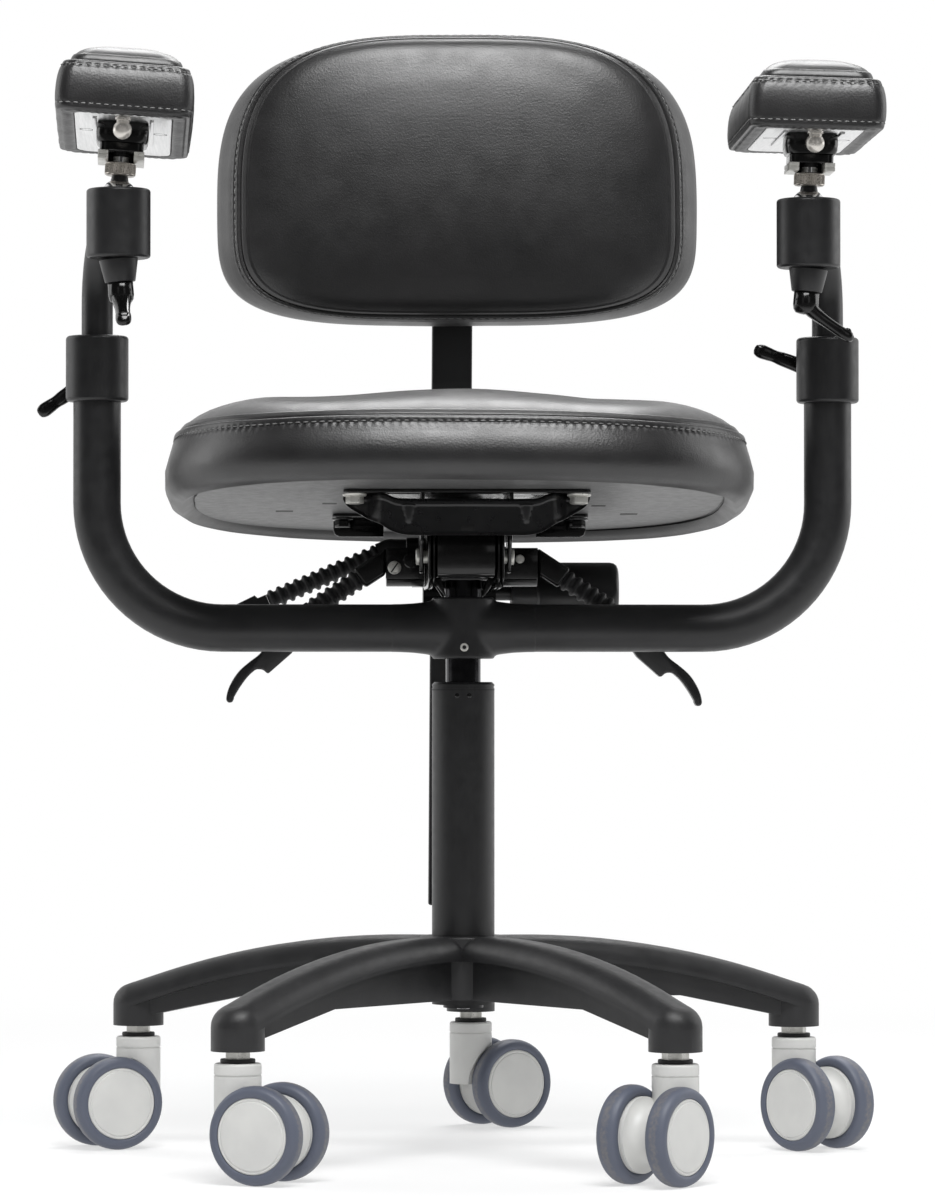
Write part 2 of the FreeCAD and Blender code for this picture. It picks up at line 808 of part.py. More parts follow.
def make_mech_body():
    half = mech_half_width
    box = block(Vector(-half, mech_front, mech_bottom), Vector(half, mech_rear, mech_top))
    box = box.makeFillet(mech_round, upright_edges(box))
    socket = cone(socket_radius, half - socket_rim, Vector(0, 0, socket_bottom), socket_height)
    knob_front = mech_rear - knob_block_length
    knob_block = block(Vector(-half, knob_front, mech_bottom - knob_block_drop),
                       Vector(half, mech_rear - mech_round, mech_bottom + mech_round))
    pieces = [box, socket, knob_block]
    for side in (-1, 1):
        centre = Vector(0, lever_y, lever_level)
        pieces.append(rod(lever_boss_radius, centre, centre + right * side * (half + lever_boss_length)))
    centre = Vector(0, upper_lever_y, upper_lever_level)
    pieces.append(rod(upper_boss_radius, centre, centre - right * (half + upper_boss_length)))
    body = joined(pieces)
    body = body.cut(taper(press_fit))
    for pivot in (seat_pivot, back_pivot):
        body = body.cut(rod(pin_radius + press_fit, pivot - right * half * 2, pivot + right * half * 2))
    for side in (-1, 1):
        end = Vector(side * (half + lever_boss_length + overcut), lever_y, lever_level)
        depth = right * side * (lever_shaft_depth + side_gap + overcut)
        body = body.cut(rod(lever_shaft_radius + running_fit, end - depth, end))
    end = Vector(-half - upper_boss_length - overcut, upper_lever_y, upper_lever_level)
    depth = right * (lever_shaft_depth + side_gap + overcut)
    body = body.cut(rod(lever_shaft_radius + running_fit, end + depth, end))
    end = Vector(half + overcut, knob_y, knob_level)
    depth = right * (knob_shaft_depth + side_gap + overcut)
    body = body.cut(rod(knob_shaft_radius + running_fit, end - depth, end))
    seat_reach = right * (half + cheek_gap + cheek_thickness + pin_head_out)
    back_reach = right * (half + cheek_gap + back_arm_cheek + pin_head_out)
    pins = [
        rod(pin_radius, seat_pivot - seat_reach, seat_pivot + seat_reach),
        rod(pin_radius, back_pivot - back_reach, back_pivot + back_reach),
    ]
    return Part.makeCompound([body] + pins)


# Seat, drawn level with the board's underside at z = 0

def bolt_places():
    front = plate_front + ear_length / 2
    rear = plate_rear - ear_length / 2
    places = []
    for side in (-1, 1):
        places.append(Vector(side * (front_ear_half_width - bolt_inset), front, 0))
        places.append(Vector(side * (rear_ear_half_width - bolt_inset), rear, 0))
    return places


def drilled(shape, radius, low, high):
    """Cuts the seat bolts' holes."""
    for place in bolt_places():
        shape = shape.cut(rod(radius, place + up * low, place + up * high))
    return shape


def make_seat_cushion():
    rings = (
        (seat_fold_inset, -seat_fold),
        (seat_hem_inset, seat_hem_level),
        (0.0, seat_bulge_level),
        (seat_seam_inset, seat_seam_level),
        (seat_shoulder_inset, seat_seam_level + seat_shoulder_rise),
        (seat_crown_inset, seat_thickness - seat_crown_drop),
        (seat_top_inset, seat_thickness),
    )
    pad = cushion(seat_half_width, seat_front, seat_rear, seat_power, seat_power, rings)
    grown = board_inset - side_gap
    pocket = cushion(seat_half_width, seat_front, seat_rear, seat_power, seat_power,
                     ((grown, -seat_fold - overcut), (grown, board_thickness)))
    return pad.cut(pocket)


def make_seat_board():
    board = cushion(seat_half_width, seat_front, seat_rear, seat_power, seat_power,
                    ((board_inset, 0.0), (board_inset, board_thickness)))
    return drilled(board, bolt_radius + press_fit, -overcut, bolt_reach + side_gap)


def make_seat_plate():
    low, wide = -plate_thickness, plate_half_width
    deck = block(Vector(-wide, plate_front, low), Vector(wide, plate_rear, 0))
    front_ears = block(Vector(-front_ear_half_width, plate_front, low),
                       Vector(front_ear_half_width, plate_front + ear_length, 0))
    rear_ears = block(Vector(-rear_ear_half_width, plate_rear - ear_length, low),
                      Vector(rear_ear_half_width, plate_rear, 0))
    ear, narrow, depth = front_ear_half_width, bowl_half_width, bowl_depth
    corner = bowl_corner
    lip = Vector(0, plate_front, 0)
    hip = corner * (1 - math.sqrt(0.5))
    bowl = [
        line(lip + Vector(-ear, 0, 0), lip + Vector(ear, 0, 0)),
        line(lip + Vector(ear, 0, 0), lip + Vector(ear, 0, -bolt_head_height)),
        line(lip + Vector(ear, 0, -bolt_head_height), lip + Vector(narrow + corner, 0, corner - depth)),
        arc(lip + Vector(narrow + corner, 0, corner - depth),
            lip + Vector(narrow + corner - hip, 0, hip - depth),
            lip + Vector(narrow, 0, -depth)),
        line(lip + Vector(narrow, 0, -depth), lip + Vector(-narrow, 0, -depth)),
        arc(lip + Vector(-narrow, 0, -depth),
            lip + Vector(-narrow - corner + hip, 0, hip - depth),
            lip + Vector(-narrow - corner, 0, corner - depth)),
        line(lip + Vector(-narrow - corner, 0, corner - depth), lip + Vector(-ear, 0, -bolt_head_height)),
        line(lip + Vector(-ear, 0, -bolt_head_height), lip + Vector(-ear, 0, 0)),
    ]
    skirt = filled(bowl).extrude(Vector(0, plate_thickness, 0))
    pieces = [deck, front_ears, rear_ears, skirt]
    pivot = seat_place.inverse().multVec(seat_pivot)
    for side in (-1, 1):
        inner = mech_half_width + cheek_gap
        x = inner if side > 0 else -inner - cheek_thickness
        far = x + cheek_thickness
        web = block(Vector(x, plate_front, -bowl_depth), Vector(far, cheek_rear, low / 2))
        hanger = block(Vector(x, pivot.y - cheek_margin, pivot.z),
                       Vector(far, pivot.y + cheek_margin, low / 2))
        eye = rod(cheek_margin, Vector(x, pivot.y, pivot.z), Vector(far, pivot.y, pivot.z))
        pieces.append(joined([web, hanger, eye]))
    plate = joined(pieces)
    reach = right * (mech_half_width + cheek_gap + cheek_thickness + overcut)
    plate = plate.cut(rod(pin_radius + running_fit, pivot - reach, pivot + reach))
    return drilled(plate, bolt_radius + press_fit, -plate_thickness - overcut, overcut)


def make_seat_bolts():
    bolts = []
    for place in bolt_places():
        head = hexagon(bolt_head_flats, -plate_thickness - bolt_head_height, bolt_head_height, place)
        shank_low = place - up * (plate_thickness + bolt_head_height / 2)
        shank = rod(bolt_radius, shank_low, place + up * bolt_reach)
        bolts.append(joined([head, shank]))
    return Part.makeCompound(bolts)


# Back support

def make_back_arm():
    inner = mech_half_width + cheek_gap
    outer = inner + back_arm_cheek
    low = mech_bottom
    high = low + back_arm_height
    cross_front = mech_rear + back_arm_gap
    cross_rear = cross_front + back_arm_cross
    pieces = [block(Vector(-outer, cross_front, low), Vector(outer, cross_rear, high))]
    for side in (-1, 1):
        x = inner if side > 0 else -outer
        cheek = [
            line(Vector(x, cross_rear, low), Vector(x, cross_front, low)),
            line(Vector(x, cross_front, low), Vector(x, back_pivot.y, back_pivot.z - cheek_margin)),
            arc(Vector(x, back_pivot.y, back_pivot.z - cheek_margin),
                Vector(x, back_pivot.y - cheek_margin, back_pivot.z),
                Vector(x, back_pivot.y, back_pivot.z + cheek_margin)),
            line(Vector(x, back_pivot.y, back_pivot.z + cheek_margin), Vector(x, cross_rear, high)),
            line(Vector(x, cross_rear, high), Vector(x, cross_rear, low)),
        ]
        pieces.append(filled(cheek).extrude(right * back_arm_cheek))
    bar_front = bar_y - bar_thickness / 2 - guide_gap
    bar_back = bar_y + bar_thickness / 2 + guide_gap
    sleeve_side = bar_half_width + guide_gap + sleeve_wall
    pieces.append(block(Vector(-back_arm_half_width, cross_rear, low),
                        Vector(back_arm_half_width, bar_front - sleeve_wall, high)))
    sleeve_low = mech_bottom - sleeve_drop
    pieces.append(block(Vector(-sleeve_side, bar_front - sleeve_wall, sleeve_low),
                        Vector(sleeve_side, bar_back + sleeve_wall, sleeve_low + sleeve_height)))
    arm = joined(pieces)
    slot_half = bar_half_width + guide_gap
    arm = arm.cut(block(Vector(-slot_half, bar_front, sleeve_low - overcut),
                        Vector(slot_half, bar_back, sleeve_low + sleeve_height + overcut)))
    reach = right * (outer + overcut)
    return arm.cut(rod(pin_radius + running_fit, back_pivot - reach, back_pivot + reach))


def make_back_bar():
    low = Vector(-bar_half_width, bar_y - bar_thickness / 2, bar_bottom)
    bar = block(low, Vector(bar_half_width, bar_y + bar_thickness / 2, bar_top))
    return bar.makeFillet(bar_round, upright_edges(bar))


# Upright place of the backrest: the drawing's plane stands up, with its front at -Y
back_place = Placement(Vector(0, back_rear, back_level), Rotation(right, 90))


def make_back_cushion():
    rings = (
        (back_edge_inset, 0.0),
        (0.0, back_bulge_depth),
        (back_side_inset, back_side_depth),
        (back_seam_inset, back_seam_depth),
        (back_shoulder_inset, back_thickness - back_shoulder_drop),
        (back_crown_inset, back_thickness - back_crown_drop),
        (back_top_inset, back_thickness),
    )
    pad = cushion(back_half_width, back_below, back_above, back_power_below, back_power_above, rings)
    pad.Placement = back_place
    return pad


def make_back_shell():
    rings = (
        (shell_inset + shell_round, -shell_thickness),
        (shell_inset + shell_bevel, -shell_thickness + shell_bevel),
        (shell_inset, -shell_thickness + shell_round),
        (shell_inset, 0.0),
    )
    shell = cushion(back_half_width, back_below, back_above, back_power_below, back_power_above, rings)
    shell.Placement = back_place
    boss_rear = bar_y - bar_thickness / 2
    boss_low = back_level - back_below + shell_boss_margin
    boss = block(Vector(-shell_boss_half_width, back_rear + shell_thickness / 2, boss_low),
                 Vector(shell_boss_half_width, boss_rear, bar_top + bar_half_width))
    return joined([shell, boss])


# Levers

def lever_run(level, y, elbow, fall, side):
    """Point where a lever's sleeve line starts, and its direction."""
    angle = math.radians(fall)
    return Vector(side * elbow, y, level), Vector(side * math.cos(angle), 0, -math.sin(angle))


def sleeve_on(start, direction, ribs):
    sleeve = ribbed_sleeve(core_radius + running_fit, sleeve_valley, sleeve_outer, rib_pitch, ribs)
    sleeve.Placement = Placement(start, Rotation(right, direction))
    return sleeve


def lever_stub(level, y, elbow, boss_length, radius, side):
    """Shaft in the mechanism's boss, and the stub outside it, up to the elbow."""
    boss_end = mech_half_width + boss_length
    inner = Vector(side * (boss_end - lever_shaft_depth), y, level)
    face = Vector(side * (boss_end + side_gap), y, level)
    corner = Vector(side * elbow, y, level)
    shaft = rod(lever_shaft_radius, inner, corner)
    return [shaft, rod(radius, face, corner), Part.makeSphere(radius, corner)]


def make_lower_lever(side):
    start, direction = lever_run(lever_level, lever_y, lever_elbow_x, lever_fall, side)
    arm_end = start + direction * lever_arm_length
    sleeve_end = arm_end + direction * (lower_ribs * rib_pitch)
    pieces = lever_stub(lever_level, lever_y, lever_elbow_x, lever_boss_length, lever_arm_radius, side)
    pieces.append(rod(lever_arm_radius, start, arm_end))
    pieces.append(rod(core_radius, start, sleeve_end + direction * paddle_root))
    across = direction.cross(rearward) * side
    root_out = sleeve_end + across * paddle_root
    root_in = sleeve_end - across * paddle_root
    shoulder = sleeve_end + direction * paddle_shoulder - across * paddle_shoulder_drop
    hollow = shoulder - across * paddle_depth
    tip = sleeve_end + direction * paddle_length - across * paddle_drop
    tip_in = tip - direction * paddle_tip - across * paddle_tip / 2
    outline = [
        arc(root_out, shoulder, tip),
        line(tip, tip_in),
        arc(tip_in, hollow, root_in),
        line(root_in, root_out),
    ]
    paddle = filled(outline).extrude(rearward * 2 * paddle_half_width)
    paddle.translate(-rearward * paddle_half_width)
    flanks = [e for e in paddle.Edges if e.Length > paddle_shoulder]
    pieces.append(paddle.makeFillet(paddle_round, flanks))
    return joined(pieces)


def make_lower_sleeve(side):
    start, direction = lever_run(lever_level, lever_y, lever_elbow_x, lever_fall, side)
    return sleeve_on(start + direction * lever_arm_length, direction, lower_ribs)


def upper_lever_run():
    return lever_run(upper_lever_level, upper_lever_y, upper_lever_elbow_x, upper_lever_fall, -1)


def make_upper_lever():
    start, direction = upper_lever_run()
    pieces = lever_stub(upper_lever_level, upper_lever_y, upper_lever_elbow_x, upper_boss_length,
                        upper_arm_radius, -1)
    sleeve_end = start + direction * (upper_arm_radius + upper_ribs * rib_pitch)
    pieces.append(rod(core_radius, start, sleeve_end + direction * grip_root))
    grip = tapered_bar(grip_length, grip_root, grip_tip, grip_thickness)
    flat = Rotation(direction, rearward, Vector(), "XYZ")
    grip.Placement = Placement(sleeve_end + direction * grip_root, flat)
    pieces.append(grip)
    return joined(pieces)


def make_upper_sleeve():
    start, direction = upper_lever_run()
    return sleeve_on(start + direction * upper_arm_radius, direction, upper_ribs)


def make_tension_knob():
    start = Vector(knob_start, knob_y, knob_level)
    end = start + right * knob_length
    grip = rod(knob_radius, start, end)
    grip = grip.makeFillet(knob_round, round_edges(grip))
    for index in range(knob_flutes):
        angle = 2 * math.pi * index / knob_flutes
        reach = knob_radius + knob_flute_radius / 2
        off = Vector(0, reach * math.cos(angle), reach * math.sin(angle))
        flute_start = start + off + right * knob_collar
        grip = grip.cut(rod(knob_flute_radius, flute_start, end + off + right * overcut))
    shaft_start = Vector(mech_half_width - knob_shaft_depth, knob_y, knob_level)
    return joined([grip, rod(knob_shaft_radius, shaft_start, start + right * knob_round)])


# Arm supports

def arm_frame(arm):
    """Named places of one arm support."""
    side = arm["side"]
    angle = math.radians(arm["turn"])
    foot = Vector(side * yoke_half_span, 0, 0)
    forward = Vector(-side * math.sin(angle), -math.cos(angle), 0)
    head = foot + forward * post_reach
    ball = Vector(head.x, head.y, arm["top"] - ball_depth)
    tilt = Rotation(right, arm["pitch"]).multiply(Rotation(rearward, arm["roll"]))
    pad = Placement(ball, tilt.multiply(Rotation(up, arm["yaw"])))
    return dict(foot=foot, forward=forward, head=head, ball=ball, pad=pad,
                housing_bottom=arm["top"] - housing_height)


def make_arm_collar(arm):
    foot = arm_frame(arm)["foot"]
    top = collar_bottom + collar_height
    collar = rod(collar_radius, foot + up * collar_bottom, foot + up * top)
    collar = collar.makeFillet(collar_round, round_edges(collar))
    socket_low = foot + up * (collar_bottom - overcut)
    socket_top = foot + up * (yoke_top + side_gap)
    collar = collar.cut(rod(yoke_tube_radius + running_fit, socket_low, socket_top))
    collar = collar.cut(rod(post_radius + running_fit, socket_low, foot + up * (top + overcut)))
    screw = foot + up * collar_lever_level
    screw_end = screw + rearward * (collar_radius + overcut)
    return collar.cut(rod(collar_screw_radius + running_fit, screw, screw_end))


def make_collar_lever(arm):
    centre = arm_frame(arm)["foot"] + up * collar_lever_level
    hub_start = centre + rearward * (collar_radius + side_gap)
    hub_end = hub_start + rearward * collar_hub_length
    screw = rod(collar_screw_radius, centre + rearward * (post_radius + 2 * side_gap), hub_end)
    hub = rod(collar_hub_radius, hub_start, hub_end)
    handle = tapered_bar(collar_handle_length, collar_handle_root, collar_handle_tip,
                         collar_handle_thickness)
    angle = math.radians(arm["collar_handle"])
    along = Vector(math.cos(angle), 0, math.sin(angle))
    middle = hub_end - rearward * collar_handle_thickness / 2
    handle.Placement = Placement(middle, Rotation(along, Vector(), rearward, "XZY"))
    return joined([screw, hub, handle])


def post_path(arm):
    frame = arm_frame(arm)
    level = arm["top"] - housing_height / 2
    bend = post_bend_radius
    hip = math.sqrt(0.5)
    foot, forward = frame["foot"], frame["forward"]
    bottom = foot + up * post_bottom
    bend_start = foot + up * (level - bend)
    bend_middle = foot + forward * bend * (1 - hip) + up * (level - bend * (1 - hip))
    bend_end = foot + forward * bend + up * level
    end = foot + forward * (post_reach - housing_radius + post_socket) + up * level
    return [line(bottom, bend_start), arc(bend_start, bend_middle, bend_end), line(bend_end, end)], bottom


def make_arm_post(arm):
    path, start = post_path(arm)
    skin = swept(post_radius, path, start, up)
    return skin.cut(swept(post_radius - post_wall, path, start, up))


def make_ball_housing(arm):
    frame = arm_frame(arm)
    head, low = frame["head"], frame["housing_bottom"]
    body = rod(housing_radius, head + up * low, head + up * arm["top"])
    body = body.makeFillet(housing_round, round_edges(body))
    body = body.cut(Part.makeSphere(ball_radius + running_fit, frame["ball"]))
    body = body.cut(rod(clamp_screw_radius + running_fit, head + up * (low - overcut), frame["ball"]))
    level = up * (arm["top"] - housing_height / 2)
    socket_end = head - frame["forward"] * (housing_radius - post_socket)
    socket_start = head - frame["forward"] * (housing_radius + overcut)
    return body.cut(rod(post_radius + press_fit, socket_start + level, socket_end + level))


def make_clamp_lever(arm):
    frame = arm_frame(arm)
    head = frame["head"]
    cone_top = frame["housing_bottom"] - side_gap
    cone_bottom = cone_top - clamp_cone_height
    hub_bottom_level = cone_bottom - clamp_hub_height
    screw_top = frame["ball"] - up * (ball_radius + clamp_screw_gap)
    pieces = [
        rod(clamp_screw_radius, head + up * hub_bottom_level, screw_top),
        cone(clamp_cone_bottom, clamp_cone_top, head + up * cone_bottom, clamp_cone_height),
        rod(clamp_hub_radius, head + up * hub_bottom_level, head + up * cone_bottom),
    ]
    handle = tapered_bar(clamp_handle_length, clamp_handle_root, clamp_handle_tip, clamp_handle_thickness)
    angle = math.radians(arm["clamp_handle"])
    fall = math.radians(clamp_handle_fall)
    out = Vector(math.cos(angle), math.sin(angle), 0)
    along = out * math.cos(fall) - up * math.sin(fall)
    across = up.cross(out)
    root = head + up * (cone_bottom - clamp_hub_height / 2)
    handle.Placement = Placement(root, Rotation(along, across, Vector(), "XYZ"))
    pieces.append(handle)
    return joined(pieces)


def make_arm_ball(arm):
    return Part.makeSphere(ball_radius, arm_frame(arm)["ball"])


# What the ball carries, drawn upright with the ball's centre at the origin
nut_bottom = stem_neck_level + nut_gap
nut_top = nut_bottom + nut_height
carrier_bottom = nut_top + carrier_gap
carrier_step_bottom = carrier_bottom + carrier_plate_height
carrier_block_bottom = carrier_step_bottom + carrier_step_height
carrier_top = carrier_block_bottom + carrier_height
pad_bottom = carrier_top + slide_gap
stem_top = carrier_step_bottom + thread_engagement


def on_ball(shape, arm):
    shape.Placement = arm_frame(arm)["pad"]
    return shape


def make_ball_stem(arm):
    seat = stem_flare_level
    points = [
        Vector(0, 0, ball_radius / 2),
        Vector(stem_flare_radius, 0, seat),
        Vector(stem_flare_radius, 0, seat + stem_flare_rim),
        Vector(stem_neck_radius, 0, stem_neck_level - stem_flare_rim),
        Vector(stem_neck_radius, 0, stem_neck_level),
        Vector(pad_thread_radius, 0, stem_neck_level),
        Vector(pad_thread_radius, 0, stem_top),
        Vector(0, 0, stem_top),
    ]
    stem = turned(points, Vector(), up)
    return on_ball(stem.cut(Part.makeSphere(ball_radius + running_fit)), arm)


def make_lock_nut(arm):
    nut = rod(nut_radius, up * nut_bottom, up * nut_top)
    nut = nut.makeChamfer(nut_chamfer, round_edges(nut))
    bore = rod(pad_thread_radius + running_fit, up * (nut_bottom - overcut), up * (nut_top + overcut))
    return on_ball(nut.cut(bore), arm)


def make_pad_carrier(arm):
    half, length = carrier_plate_half, carrier_half_length
    bore = rod(pad_thread_radius + running_fit, up * (carrier_bottom - overcut), up * (stem_top + side_gap))
    plate = block(Vector(-half, -length, carrier_bottom), Vector(half, length, carrier_step_bottom))
    step = block(Vector(-carrier_step_half, -length, carrier_step_bottom),
                 Vector(carrier_step_half, length, carrier_block_bottom))
    slider = block(Vector(-carrier_half, -length, carrier_block_bottom),
                   Vector(carrier_half, length, carrier_top))
    slider = slider.makeFillet(carrier_round, upright_edges(slider))
    slide_block = joined([step, slider])
    return on_ball(Part.makeCompound([plate.cut(bore), slide_block.cut(bore)]), arm)


def make_pad_plate(arm):
    top = pad_bottom + pad_plate_thickness
    wide, length = pad_plate_half_width, pad_plate_half_length
    plate = block(Vector(-wide, pad_behind - length, pad_bottom), Vector(wide, pad_behind + length, top))
    plate = plate.makeFillet(pad_plate_round, upright_edges(plate))
    pieces = [plate]
    for side in (-1, 1):
        inner = carrier_half + slide_gap
        x = inner if side > 0 else -inner - pad_rail_thickness
        pieces.append(block(Vector(x, -pad_rail_ahead, pad_bottom - pad_rail_height),
                            Vector(x + pad_rail_thickness, pad_rail_behind, top)))
    pin_top = Vector(0, -stop_pin_ahead, pad_bottom)
    pin_end = pin_top - up * stop_pin_length
    pin = rod(stop_pin_radius, pin_end - up * stop_neck_overlap, pin_top)
    ball = Part.makeSphere(stop_ball_radius, pin_end - up * (stop_ball_radius - stop_neck_overlap))
    return on_ball(Part.makeCompound([joined(pieces), joined([pin, ball])]), arm)


def make_arm_pad(arm):
    low, top = pad_bottom, pad_bottom + pad_thickness
    rings = (
        (pad_hem_inset, low),
        (0.0, low + pad_hem_level),
        (0.0, top - pad_side_drop),
        (pad_seam_inset, top - pad_seam_drop),
        (pad_shoulder_inset, top - pad_shoulder_drop),
        (pad_crown_inset, top - pad_crown_drop),
        (pad_top_inset, top),
    )
    front, rear = pad_half_length - pad_behind, pad_half_length + pad_behind
    pad = Part.makeLoft([
        rounded_ring(pad_half_width - inset, front - inset, rear - inset, pad_corner, level)
        for inset, level in rings
    ], True, False)
    wide, length = pad_plate_half_width + pad_pocket_gap, pad_plate_half_length + pad_pocket_gap
    pocket = block(Vector(-wide, pad_behind - length, low - overcut),
                   Vector(wide, pad_behind + length, low + pad_plate_thickness))
    pocket = pocket.makeFillet(pad_plate_round, upright_edges(pocket))
    return on_ball(pad.cut(pocket), arm)


def tilted_with_seat(shape):
    shape.Placement = seat_place
    return shape


def build():
    """Every node's shape, by name."""
    nodes = {
        "star_base": make_star_base(),
        "column_tube": make_column_tube(),
        "column_clip": make_column_clip(),
        "piston_rod": make_piston_rod(),
        "gas_cylinder": make_gas_cylinder(),
        "arm_yoke": make_arm_yoke(),
        "mech_body": make_mech_body(),
        "seat_plate": tilted_with_seat(make_seat_plate()),
        "seat_bolts": tilted_with_seat(make_seat_bolts()),
        "seat_board": tilted_with_seat(make_seat_board()),
        "seat_cushion": tilted_with_seat(make_seat_cushion()),
        "back_arm": make_back_arm(),
        "back_bar": make_back_bar(),
        "back_shell": make_back_shell(),
        "back_cushion": make_back_cushion(),
        "lift_lever": make_lower_lever(1),
        "lift_lever_sleeve": make_lower_sleeve(1),
        "seat_lever": make_lower_lever(-1),
        "seat_lever_sleeve": make_lower_sleeve(-1),
        "back_lever": make_upper_lever(),
        "back_lever_sleeve": make_upper_sleeve(),
        "tension_knob": make_tension_knob(),
    }
    for name, arm in arm_settings.items():
        nodes[name + "_arm_collar"] = make_arm_collar(arm)
        nodes[name + "_collar_lever"] = make_collar_lever(arm)
        nodes[name + "_arm_post"] = make_arm_post(arm)
        nodes[name + "_ball_housing"] = make_ball_housing(arm)
        nodes[name + "_clamp_lever"] = make_clamp_lever(arm)
        nodes[name + "_arm_ball"] = make_arm_ball(arm)
        nodes[name + "_ball_stem"] = make_ball_stem(arm)
        nodes[name + "_lock_nut"] = make_lock_nut(arm)
        nodes[name + "_pad_carrier"] = make_pad_carrier(arm)
        nodes[name + "_pad_plate"] = make_pad_plate(arm)
        nodes[name + "_arm_pad"] = make_arm_pad(arm)
    stem, fork = make_caster_stem(), make_caster_fork()
    rims, tyres = make_caster_rims(), make_caster_tyres()

    def placed(shape, place):
        copy = shape.copy()
        copy.Placement = place
        return copy

    stems = []
    for index in range(len(caster_headings)):
        place = caster_place(index)
        stems.append(placed(stem, place))
        number = str(index + 1)
        nodes["caster_" + number + "_fork"] = placed(fork, place)
        nodes["caster_" + number + "_rims"] = placed(rims, place)
        nodes["caster_" + number + "_tyres"] = placed(tyres, place)
    nodes["caster_stems"] = Part.makeCompound(stems)
    return nodes


os.makedirs("parts", exist_ok=True)
for node_name, node_shape in build().items():
    node_shape.exportStep("parts/" + node_name + ".step")
    volume = sum(solid.Volume for solid in node_shape.Solids)
    print(node_name, len(node_shape.Solids), "solids", node_shape.isValid(), f"{volume / 1000:.1f} cm3")
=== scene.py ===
import json
import math

import bmesh
import bpy
import numpy as np
from mathutils import Matrix, Vector, noise
from mathutils.kdtree import KDTree


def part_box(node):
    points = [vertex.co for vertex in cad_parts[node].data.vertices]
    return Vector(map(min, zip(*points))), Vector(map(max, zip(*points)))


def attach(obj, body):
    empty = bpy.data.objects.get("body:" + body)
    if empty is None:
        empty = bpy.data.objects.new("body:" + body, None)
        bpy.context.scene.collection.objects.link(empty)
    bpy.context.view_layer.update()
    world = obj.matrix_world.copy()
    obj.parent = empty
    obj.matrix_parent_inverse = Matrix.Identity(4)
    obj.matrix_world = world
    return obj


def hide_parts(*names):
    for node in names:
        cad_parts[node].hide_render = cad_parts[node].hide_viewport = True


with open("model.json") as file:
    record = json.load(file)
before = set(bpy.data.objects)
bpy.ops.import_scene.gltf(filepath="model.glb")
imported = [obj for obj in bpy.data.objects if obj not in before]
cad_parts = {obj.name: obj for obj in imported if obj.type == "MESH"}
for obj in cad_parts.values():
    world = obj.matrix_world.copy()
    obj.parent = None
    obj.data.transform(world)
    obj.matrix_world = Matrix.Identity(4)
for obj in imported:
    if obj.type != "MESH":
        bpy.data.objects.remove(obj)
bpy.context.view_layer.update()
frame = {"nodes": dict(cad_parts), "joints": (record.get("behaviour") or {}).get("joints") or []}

# Laboratory chair with swivelling arm supports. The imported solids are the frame.
# Dictionaries hold millimetres and degrees, and meshes are made in metres.

nodes = frame["nodes"]
joints = {joint["name"]: joint for joint in frame["joints"]}
mm = 0.001
fullTurn = 2 * math.pi
sides = ("left", "right")
casterNumbers = (1, 2, 3, 4, 5)
print("frame loaded:", len(nodes), "solids")


# Shapes: a shape is a pair, its points in millimetres and its faces

def smoothPath(points, perSpan):
    # Catmull-Rom curve through the points, in any number of dimensions
    points = np.asarray(points, float)
    ends = np.vstack([2 * points[0] - points[1], points, 2 * points[-1] - points[-2]])
    knots = np.concatenate([[0], np.cumsum(np.sqrt(np.linalg.norm(np.diff(ends, axis=0), axis=1)))])
    samples = []
    for i in range(1, len(ends) - 2):
        t0, t1, t2, t3 = knots[i - 1:i + 3]
        for t in np.linspace(t1, t2, perSpan, endpoint=False):
            a1 = ends[i - 1] + (ends[i] - ends[i - 1]) * (t - t0) / (t1 - t0)
            a2 = ends[i] + (ends[i + 1] - ends[i]) * (t - t1) / (t2 - t1)
            a3 = ends[i + 1] + (ends[i + 2] - ends[i + 1]) * (t - t2) / (t3 - t2)
            b1 = a1 + (a2 - a1) * (t - t0) / (t2 - t0)
            b2 = a2 + (a3 - a2) * (t - t1) / (t3 - t1)
            samples.append(b1 + (b2 - b1) * (t - t1) / (t2 - t1))
    samples.append(points[-1])
    return np.array(samples)


def runLength(points):
    steps = np.linalg.norm(np.diff(points, axis=0), axis=1)
    return np.concatenate([[0], np.cumsum(steps)])


def roundCorners(points, radius, steps=5):
    # closed outline with an arc at each corner
    points = [Vector(p) for p in points]
    outline = []
    for i, corner in enumerate(points):
        before = (points[i - 1] - corner).normalized()
        after = (points[(i + 1) % len(points)] - corner).normalized()
        half = before.angle(after) / 2
        middle = corner + (before + after).normalized() * (radius / math.sin(half))
        start = corner + before * (radius / math.tan(half))
        end = corner + after * (radius / math.tan(half))
        for k in range(steps + 1):
            blend = start.lerp(end, k / steps) - middle
            outline.append(middle + blend.normalized() * radius)
    return [tuple(p) for p in outline]


def eased(share):
    # a soft step from 0 to 1
    share = np.clip(share, 0, 1)
    return share * share * (3 - 2 * share)


def ringAt(outline, level):
    return np.column_stack([outline, np.full(len(outline), level)])


def skin(rings, capFirst=True, capLast=True):
    # quads between rings of equal point counts
    rows, count = rings.shape[:2]
    low = np.arange((rows - 1) * count)
    beside = np.where(low % count == count - 1, low - count + 1, low + 1)
    faces = np.stack([low, beside, beside + count, low + count], axis=1).tolist()
    if capFirst:
        faces.append(list(range(count - 1, -1, -1)))
    if capLast:
        faces.append(list(range((rows - 1) * count, rows * count)))
    return rings.reshape(-1, 3), faces


def lathe(profile, segments=48):
    # profile of (radius, height), turned about Z
    angles = np.linspace(0, fullTurn, segments, endpoint=False)
    circle = np.stack([np.cos(angles), np.sin(angles)], axis=1)
    return skin(np.array([ringAt(circle * max(radius, 0.02), height) for radius, height in profile]))


